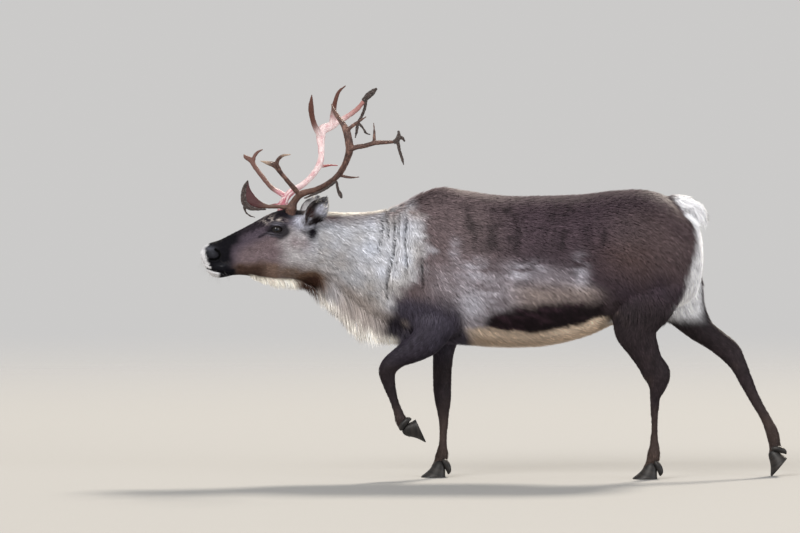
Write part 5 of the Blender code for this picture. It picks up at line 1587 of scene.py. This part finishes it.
BRISTLE_TREE = bristle_tree()
dark = {"Base Color": (0.010, 0.008, 0.008, 1), "Roughness": 0.45}
grey = {"Base Color": (0.300, 0.290, 0.280, 1), "Roughness": 0.45}
lash_finish, feeler_finish = new_finish("dark_lash", dark)[0], new_finish("grey_whisker", grey)[0]
chance = np.random.default_rng(61)
count, length, thickness, droop = LASHES
for side, node in EYE_NODES.items():
    t = np.radians(np.linspace(18, 150, count) + chance.normal(0, 1.5, count))
    u, v = LID_HALF[0] * 1.02 * np.cos(t), LID_HALF[1] * 1.18 * np.sin(t) ** 1.3
    outward = np.sqrt(EYE_RADIUS**2 - u * u - np.minimum(v, 0.8 * EYE_RADIUS) ** 2) + 0.0016
    x, z = off_eye(u, v)
    roots = eye_centre(side) + np.stack([x, side * outward, z], 1)
    ways = unit(np.stack([0.5 * np.cos(t) + 0.25, side * (0.95 + 0 * t), 0.35 * np.sin(t)], 1))
    reach = length * chance.uniform(0.7, 1.1, count)
    grow_bristles(f"lashes_{node}", roots, ways, reach, thickness, droop, lash_finish)
per_square_metre, length, thickness, droop = WHISKERS
on_lips = (at_x < -0.985) & (at_z < 0.822) & ~bare
roots, normals, _ = scattered(on_lips, per_square_metre, chance)
ways = unit(normals * 0.9 + chance.normal(0, 0.18, roots.shape) + np.array((0.30, 0, -0.30)))
reach = length * chance.uniform(0.4, 1.2, len(roots))
grow_bristles("whiskers", roots, ways, reach, thickness, droop, feeler_finish)

# Antlers: bone that has just shed its skin. Each is lofted tube by tube and fused, so that the tines
# flow out of the beam. The left is brown, the right still pink and raw below its brown tines.
# A row is x, y, z, half depth, half width, in millimetres.
LEFT_ANTLER = [
    [
        (-755, -46, 985, 20, 20), (-752, -50, 1012, 19, 19), (-742, -56, 1035, 14, 14),
        (-718, -70, 1063, 13.5, 13.5), (-664, -105, 1081, 11, 11), (-619, -145, 1103, 10.5, 10.5),
        (-587, -175, 1126, 11, 11), (-560, -205, 1159, 11.5, 11.5), (-542, -232, 1198, 12, 12),
        (-532, -250, 1238, 15, 11), (-536, -254, 1271, 15, 10), (-543, -250, 1301, 14.5, 9),
        (-555, -238, 1326, 11, 9), (-578, -216, 1359, 9, 8), (-593, -198, 1384, 6, 6),
        (-601, -183, 1404, 2, 2),
    ],
    [
        (-547, -250, 1301, 9, 8), (-528, -254, 1317, 7.5, 7), (-501, -262, 1336, 6, 5.5),
        (-469, -268, 1357, 2, 2),
    ],
    [
        (-532, -250, 1234, 10, 10), (-510, -256, 1242, 10, 9), (-472, -267, 1249, 9, 8.5),
        (-441, -272, 1258, 9, 8), (-401, -275, 1261, 7.8, 7.5), (-356, -272, 1263, 5, 5),
    ],
    [
        (-442, -272, 1256, 7.5, 7), (-440, -270, 1286, 5.5, 5), (-443, -262, 1335, 2, 2),
    ],
    [
        (-581, -182, 1140, 7, 7), (-559, -197, 1135, 6, 6), (-528, -215, 1130, 4.8, 4.5),
        (-495, -230, 1132, 2, 2),
    ],
    [
        (-716, -66, 1057, 10.5, 10.5), (-742, -85, 1089, 9.5, 9.5), (-764, -100, 1115, 8.8, 8.8),
        (-792, -125, 1149, 8.8, 8.5), (-810, -142, 1174, 12, 7.5), (-834, -150, 1182, 8.5, 6.5),
        (-866, -155, 1191, 2, 2),
    ],
    [
        (-806, -142, 1168, 8.5, 7), (-801, -150, 1192, 7.5, 6), (-784, -158, 1209, 6, 5),
        (-750, -166, 1215, 2, 2),
    ],
    [
        (-750, -52, 1014, 9.5, 9.5), (-791, -50, 1018, 7.5, 8.5), (-840, -45, 1019, 8, 7.5),
        (-879, -40, 1029, 17, 6), (-908, -34, 1052, 21, 5), (-919, -30, 1082, 15, 4.5),
        (-915, -30, 1112, 3, 3),
    ],
]
RIGHT_ANTLER = [
    [
        (-787, 44, 985, 19, 19), (-786, 48, 1020, 18, 18), (-776, 56, 1046, 14.5, 14.5),
        (-754, 72, 1071, 13.5, 13.5), (-710, 110, 1099, 11.5, 11.5), (-674, 150, 1134, 11.5, 11.5),
        (-651, 185, 1170, 12, 12), (-643, 210, 1201, 12, 11.5), (-643, 235, 1238, 12.5, 11.5),
        (-645, 250, 1270, 17, 11), (-641, 257, 1301, 19, 9), (-607, 267, 1318, 16, 9),
        (-578, 274, 1335, 12.5, 9), (-537, 280, 1359, 9.5, 8.5), (-506, 280, 1383, 9, 8),
        (-478, 275, 1416, 7.5, 7), (-439, 266, 1451, 3, 3),
    ],
    [
        (-602, 268, 1316, 13, 9), (-598, 264, 1365, 11, 8.5), (-589, 250, 1415, 8.5, 7),
        (-574, 236, 1451, 6, 5.5), (-549, 225, 1471, 2, 2),
    ],
    [
        (-645, 250, 1276, 13, 10), (-664, 242, 1311, 11, 9), (-677, 226, 1351, 10.5, 8.5),
        (-681, 205, 1392, 10.5, 8), (-678, 180, 1438, 2, 2),
    ],
    [
        (-652, 184, 1168, 7.5, 7), (-635, 196, 1167, 6, 6), (-610, 211, 1170, 4.5, 4.5),
        (-579, 226, 1169, 2, 2),
    ],
    [
        (-771, 62, 1054, 10.5, 10.5), (-801, 78, 1070, 9.8, 9.8), (-825, 91, 1085, 9, 9),
        (-864, 125, 1129, 9, 8.5), (-892, 150, 1165, 9.2, 8), (-909, 163, 1191, 10.5, 7),
        (-929, 169, 1203, 7, 6), (-935, 171, 1213, 2, 2),
    ],
    [
        (-900, 158, 1177, 8.5, 7), (-896, 167, 1200, 7.5, 6), (-883, 175, 1219, 5.5, 5),
        (-862, 181, 1231, 2, 2),
    ],
    [
        (-780, 48, 1022, 9, 9), (-818, 47, 1019, 7.5, 7.5), (-855, 45, 1018, 5.8, 5.8),
        (-885, 43, 1026, 2, 2),
    ],
]
ANTLER_VOXEL = 0.0021
BURR_HEIGHT, BURR_SWELL = 0.012, 0.004
FOOT_TOP_Z = 1.11
ANTLER_RINGS = (5, 20)
HORN_BROWN = (0.110, 0.056, 0.042)
RED_BROWN = (0.110, 0.042, 0.030)
BROWN_PINK = (0.125, 0.055, 0.042)
DUSKY_PINK = (0.360, 0.165, 0.150)
SORE_RED = (0.300, 0.075, 0.075)
RAW_RED = (0.056, 0.013, 0.015)
RUBBED_PALE = (0.340, 0.250, 0.190)
# Where each tube changes colour towards its end: start and end of the change, and the colour
LEFT_ENDS = [
    (0.75, 1.00, HORN_BROWN), (0.60, 1.00, HORN_BROWN), (0.75, 1.00, HORN_BROWN), (0.60, 1.00, HORN_BROWN),
    (0.60, 1.00, HORN_BROWN), (0.70, 0.95, RUBBED_PALE), (0.45, 0.95, RUBBED_PALE), (0.30, 0.55, RAW_RED),
]
RIGHT_ENDS = [
    (0.66, 0.92, DUSKY_PINK), (-0.05, 0.45, RED_BROWN), (-0.10, 0.50, RED_BROWN), (0.05, 0.45, SORE_RED),
    (0.05, 0.35, BROWN_PINK), (-0.80, -0.50, BROWN_PINK), (0.10, 0.45, RED_BROWN),
]


def antler(name, tubes, ends, nodes, finish):
    """One fused antler that knows, at each point, its grain, how near the foot it is, and its tint."""
    tubes = [metres(rows) for rows in tubes]
    bm = bmesh.new()
    for rows in tubes:
        add_loft(bm, limb_rings(rows, *ANTLER_RINGS))
    obj = fused(to_object(name, bm), ANTLER_VOXEL)
    smooth(obj.data, 3)
    points = coordinates_of(obj.data)
    best, tinted = np.full(len(points), FAR), np.zeros(len(points))
    grain, outward = np.zeros((2, len(points), 3))
    tint = np.ones((len(points), 4))
    for rows, (start, end, colour) in zip(tubes, ends):
        path = smooth_rows(rows, 6)
        for i in range(len(path) - 1):
            a, b = path[i, :3], path[i + 1, :3]
            run = b - a
            t, off = off_line(points, a, b)
            away = np.linalg.norm(off, axis=1)
            closer = away < best
            best = np.where(closer, away, best)
            grain[closer] = (off - off @ run[:, None] * run / (run @ run))[closer]
            outward[closer] = off[closer] / np.maximum(away[closer], 1e-6)[:, None]
            tinted[closer] = step((i + t[closer]) / (len(path) - 1), start, end)
            tint[closer, :3] = colour
    grain = grain + points * 0.12
    uneven = ripple(points, 300.0) * 0.0005 + ripple(points, 90.0) * 0.0007
    base = tubes[0][1, :3]
    burr = np.exp(-(((points - base)[:, 2] / BURR_HEIGHT) ** 2))
    burr *= step(np.linalg.norm(points - base, axis=1), 0.045, 0.025)
    pearls = BURR_SWELL * burr * (0.6 + 0.5 * ripple(points, 420.0))
    set_coordinates(obj.data, points + outward * (uneven + pearls)[:, None])
    store(obj.data, "grain", grain)
    store(obj.data, "tinted", tinted)
    store(obj.data, "near_foot", step(points[:, 2], FOOT_TOP_Z, FOOT_TOP_Z - 0.06))
    store(obj.data, "tint", tint)
    obj.data.shade_smooth()
    obj.data.materials.append(finish)
    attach(obj, "root")
    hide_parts(*nodes)


def antler_finish(name, groove, bone, stain, base_colour):
    """Grooved bone: dark in the grooves, stained in blotches, of another colour at foot and tips."""
    made, shader, wire = new_finish(name, {"Specular IOR Level": 0.4, "Coat Roughness": 0.35})
    grain = wire.attribute("grain", "Vector")
    grooves = wire.noise(420.0, 3.0, 0.6, grain)
    blotches = wire.noise(34.0, 4.0, 0.6)
    veins = wire.noise(95.0, 4.0, 0.7, grain)
    pits = wire.noise(1100.0, 2.0)
    colour = wire.mix(grooves.between(0.40, 0.60), groove, bone)
    colour = wire.mix(blotches.between(0.48, 0.60) * veins.between(0.40, 0.55), colour, stain)
    raw = wire.attribute("near_foot") * veins.between(0.42, 0.54)
    colour = wire.mix(raw, colour, base_colour)
    tinted = (wire.attribute("tinted") * (0.72 + grooves * 0.5)).between(0.0, 1.0)
    feed(shader, wire.mix(tinted, colour, wire.attribute("tint", "Color")), "Base Color")
    feed(shader, 0.66 - grooves * 0.28, "Roughness")
    feed(shader, wire.bump(grooves + pits * 0.35, 0.0018, 1.0), "Normal")
    return made


brown_antler = antler_finish(
    "antler_rubbed_brown",
    (0.034, 0.016, 0.013, 1),
    (0.125, 0.064, 0.050, 1),
    (0.220, 0.120, 0.092, 1),
    (0.100, 0.050, 0.036, 1),
)
pink_antler = antler_finish(
    "antler_raw_pink",
    (0.660, 0.470, 0.470, 1),
    (0.840, 0.710, 0.705, 1),
    (0.600, 0.340, 0.360, 1),
    (0.440, 0.125, 0.165, 1),
)
LEFT_NODES = [f"antler_left_{part}" for part in ("beam", "crown", "rear", "bez", "brow")]
RIGHT_NODES = [f"antler_right_{part}" for part in ("beam", "crown", "front", "bez", "brow")]
antler("antler_left", LEFT_ANTLER, LEFT_ENDS, LEFT_NODES, brown_antler)
antler("antler_right", RIGHT_ANTLER, RIGHT_ENDS, RIGHT_NODES, pink_antler)

# Shed velvet: dry, curled strips and sleeves of skin that still hang from the antlers. Each one is
# lofted, fused and crumpled, dark with a few bleached spots. The rows are as in the antlers.
VELVET = {
    "velvet_left_rear": [
        [
            (-369, -274, 1261, 8.2, 8.2), (-354, -272, 1271, 9.5, 8), (-349, -270, 1292, 7, 6),
            (-351, -268, 1305, 3, 3),
        ],
        [
            (-358, -272, 1279, 8, 7), (-337, -270, 1277, 6.5, 5), (-327, -270, 1264, 3, 3),
        ],
        [
            (-354, -273, 1267, 7.5, 6), (-347, -273, 1230, 6, 3.5), (-336, -273, 1198, 5.5, 3),
            (-331, -273, 1177, 2, 2),
        ],
    ],
    "velvet_right_crown": [
        [
            (-484, 276, 1412, 9.2, 9.2), (-471, 274, 1427, 11.5, 10), (-452, 270, 1444, 11.5, 10),
            (-432, 266, 1460, 4, 4),
        ],
        [
            (-476, 275, 1419, 8, 6), (-478, 279, 1387, 6.5, 3.5), (-490, 283, 1356, 6, 3),
            (-504, 285, 1327, 6.5, 3), (-510, 285, 1297, 5.5, 3), (-514, 285, 1273, 2, 2),
        ],
        [
            (-503, 285, 1330, 5, 3), (-486, 285, 1311, 4.5, 2.8), (-474, 285, 1292, 4, 2.5),
            (-457, 285, 1285, 1.8, 1.8),
        ],
    ],
    "velvet_left_beam": [
        [
            (-703, -82, 1050, 3, 3), (-675, -100, 1062, 4.5, 3.5), (-637, -131, 1078, 4.5, 3.5),
            (-604, -162, 1098, 4.5, 3.5), (-583, -180, 1113, 5.5, 4), (-576, -182, 1086, 5.5, 3.5),
            (-566, -181, 1063, 7.5, 4.5), (-562, -181, 1051, 3, 3),
        ],
    ],
    "velvet_left_brow": [
        [
            (-914, -30, 1116, 3, 4), (-926, -30, 1091, 8.5, 6.5), (-930, -32, 1061, 11, 7.5),
            (-926, -36, 1031, 12, 8), (-906, -40, 1014, 9.5, 7.5), (-878, -42, 1009, 5.5, 5.5),
            (-847, -45, 1008, 2, 3),
        ],
        [
            (-928, -36, 1024, 6, 4), (-923, -36, 999, 3.5, 2.5), (-906, -36, 984, 3, 2),
            (-888, -36, 978, 1.5, 1.5),
        ],
    ],
}
VELVET_RINGS, VELVET_VOXEL = (6, 16), 0.0011
VELVET_CURL, VELVET_CRUMPLE = 0.0022, 0.0006

velvet, shader, wire = new_finish("shed_velvet", {"Roughness": 0.88, "Sheen Weight": 0.3})
torn = wire.noise(260.0, 4.0, 0.65)
dried = wire.mix(torn.between(0.42, 0.60), (0.012, 0.008, 0.007, 1), (0.060, 0.036, 0.030, 1))
bleached = wire.noise(170.0, 3.0, 0.6).between(0.56, 0.66)
feed(shader, wire.mix(bleached, dried, (0.150, 0.128, 0.120, 1)), "Base Color")
feed(shader, wire.bump(torn, 0.003, 1.0), "Normal")
for name, strips in VELVET.items():
    bm = bmesh.new()
    for rows in strips:
        add_loft(bm, limb_rings(metres(rows), *VELVET_RINGS))
    obj = fused(to_object(f"{name}_strips", bm), VELVET_VOXEL)
    points = coordinates_of(obj.data)
    curl = ripple(points, 190.0) * VELVET_CURL + ripple(points, 620.0) * VELVET_CRUMPLE
    set_coordinates(obj.data, points + normals_of(obj.data) * curl[:, None] * 0.6)
    smooth(obj.data, 1)
    obj.data.shade_smooth()
    obj.data.materials.append(velvet)
    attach(obj, "root")
    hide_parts(name)

# Hooves: two broad crescent claws and two dew claws to a foot, of black horn with growth rings. The
# raised feet are tipped as they hang in the stride.
HOOF_TIP = {
    "foreleg_left": math.radians(115),
    "foreleg_right": 0.0,
    "hindleg_left": 0.0,
    "hindleg_right": math.radians(50),
}
# Rings of one claw: height, middle along the toe, half length, middle across, half width
CLAW = metres([
    (30, -10, 4, 14, 3), (27, -9, 11, 14.5, 7), (19, -8, 18, 15.5, 11), (8, -6, 24, 17, 14),
    (-8, 0, 31, 19.5, 17), (-22, 8, 39, 22.5, 19.5), (-31, 13, 45, 24, 20.5), (-34, 14, 46, 24.5, 20),
])
# Rings of one dew claw: x, y, z, half depth, half width
DEW_CLAW = metres([
    (-20, 20, 32, 3, 3), (-24, 22, 30, 7.5, 7), (-33, 25, 20, 11, 10), (-41, 27, 4, 11.5, 10),
    (-44, 28, -11, 8.5, 7), (-42, 27, -21, 2.5, 2.5),
])
CLAW_STEPS, CLAW_POINTS, DEW_RINGS = 5, 40, (5, 20)
TOE_IN = 0.22

horn, shader, wire = new_finish("hoof_horn", {"Specular IOR Level": 0.35})
rings_of_growth = wire.noise(55.0, 2.0, 0.5, wire.attribute("growth", "Vector"))
scuffs = wire.noise(160.0, 4.0)
colour = wire.mix(rings_of_growth.between(0.40, 0.62), (0.007, 0.006, 0.006, 1), (0.022, 0.018, 0.016, 1))
feed(shader, wire.mix(scuffs.between(0.62, 0.80), colour, (0.060, 0.050, 0.042, 1)), "Base Color")
feed(shader, 0.34 + scuffs * 0.3, "Roughness")
feed(shader, wire.bump(rings_of_growth, 0.0012, 0.8), "Normal")


def foot_frame(leg):
    """The foot's frame: +X back from the toe, +Z up from the sole, at the leg's last ring."""
    return Matrix.Translation(LEGS[leg][-1, :3]) @ Matrix.Rotation(-HOOF_TIP[leg], 4, "Y")


for leg in LEGS:
    bm = bmesh.new()
    for side in (-1, 1):
        angle = 2 * math.pi * np.arange(CLAW_POINTS) / CLAW_POINTS
        rings = []
        for height, middle, half_length, offset, half_width in smooth_rows(CLAW, CLAW_STEPS):
            forward = middle + half_length * np.cos(angle)
            inner = np.where(np.sin(angle) < 0, 0.72, 1.0)
            across = offset * (1 - TOE_IN * np.maximum(np.cos(angle), 0) ** 2)
            across = across + half_width * inner * np.sin(angle) * (1 - 0.18 * np.cos(angle))
            rings.append(np.stack([-forward, side * across, np.full(CLAW_POINTS, height)], 1))
        add_loft(bm, rings)
        add_loft(bm, limb_rings(DEW_CLAW * (-1, side, 1, 1, 1), *DEW_RINGS))
    growth = [(0.02 * v.co.x, 0.02 * v.co.y, v.co.z + 0.35 * v.co.x) for v in bm.verts]
    bmesh.ops.transform(bm, matrix=foot_frame(leg), verts=bm.verts)
    for vert in bm.verts:
        vert.co.z = max(vert.co.z, 0.0)
    obj = to_object(f"hooves_{leg}", bm)
    store(obj.data, "growth", growth)
    obj.data.shade_smooth()
    obj.data.set_sharp_from_angle(angle=math.radians(50))
    obj.data.materials.append(horn)
    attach(obj, "root")
    claws = [f"{leg}_{kind}_{which}" for kind in ("hoof", "dewclaw") for which in ("left", "right")]
    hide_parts(*claws)
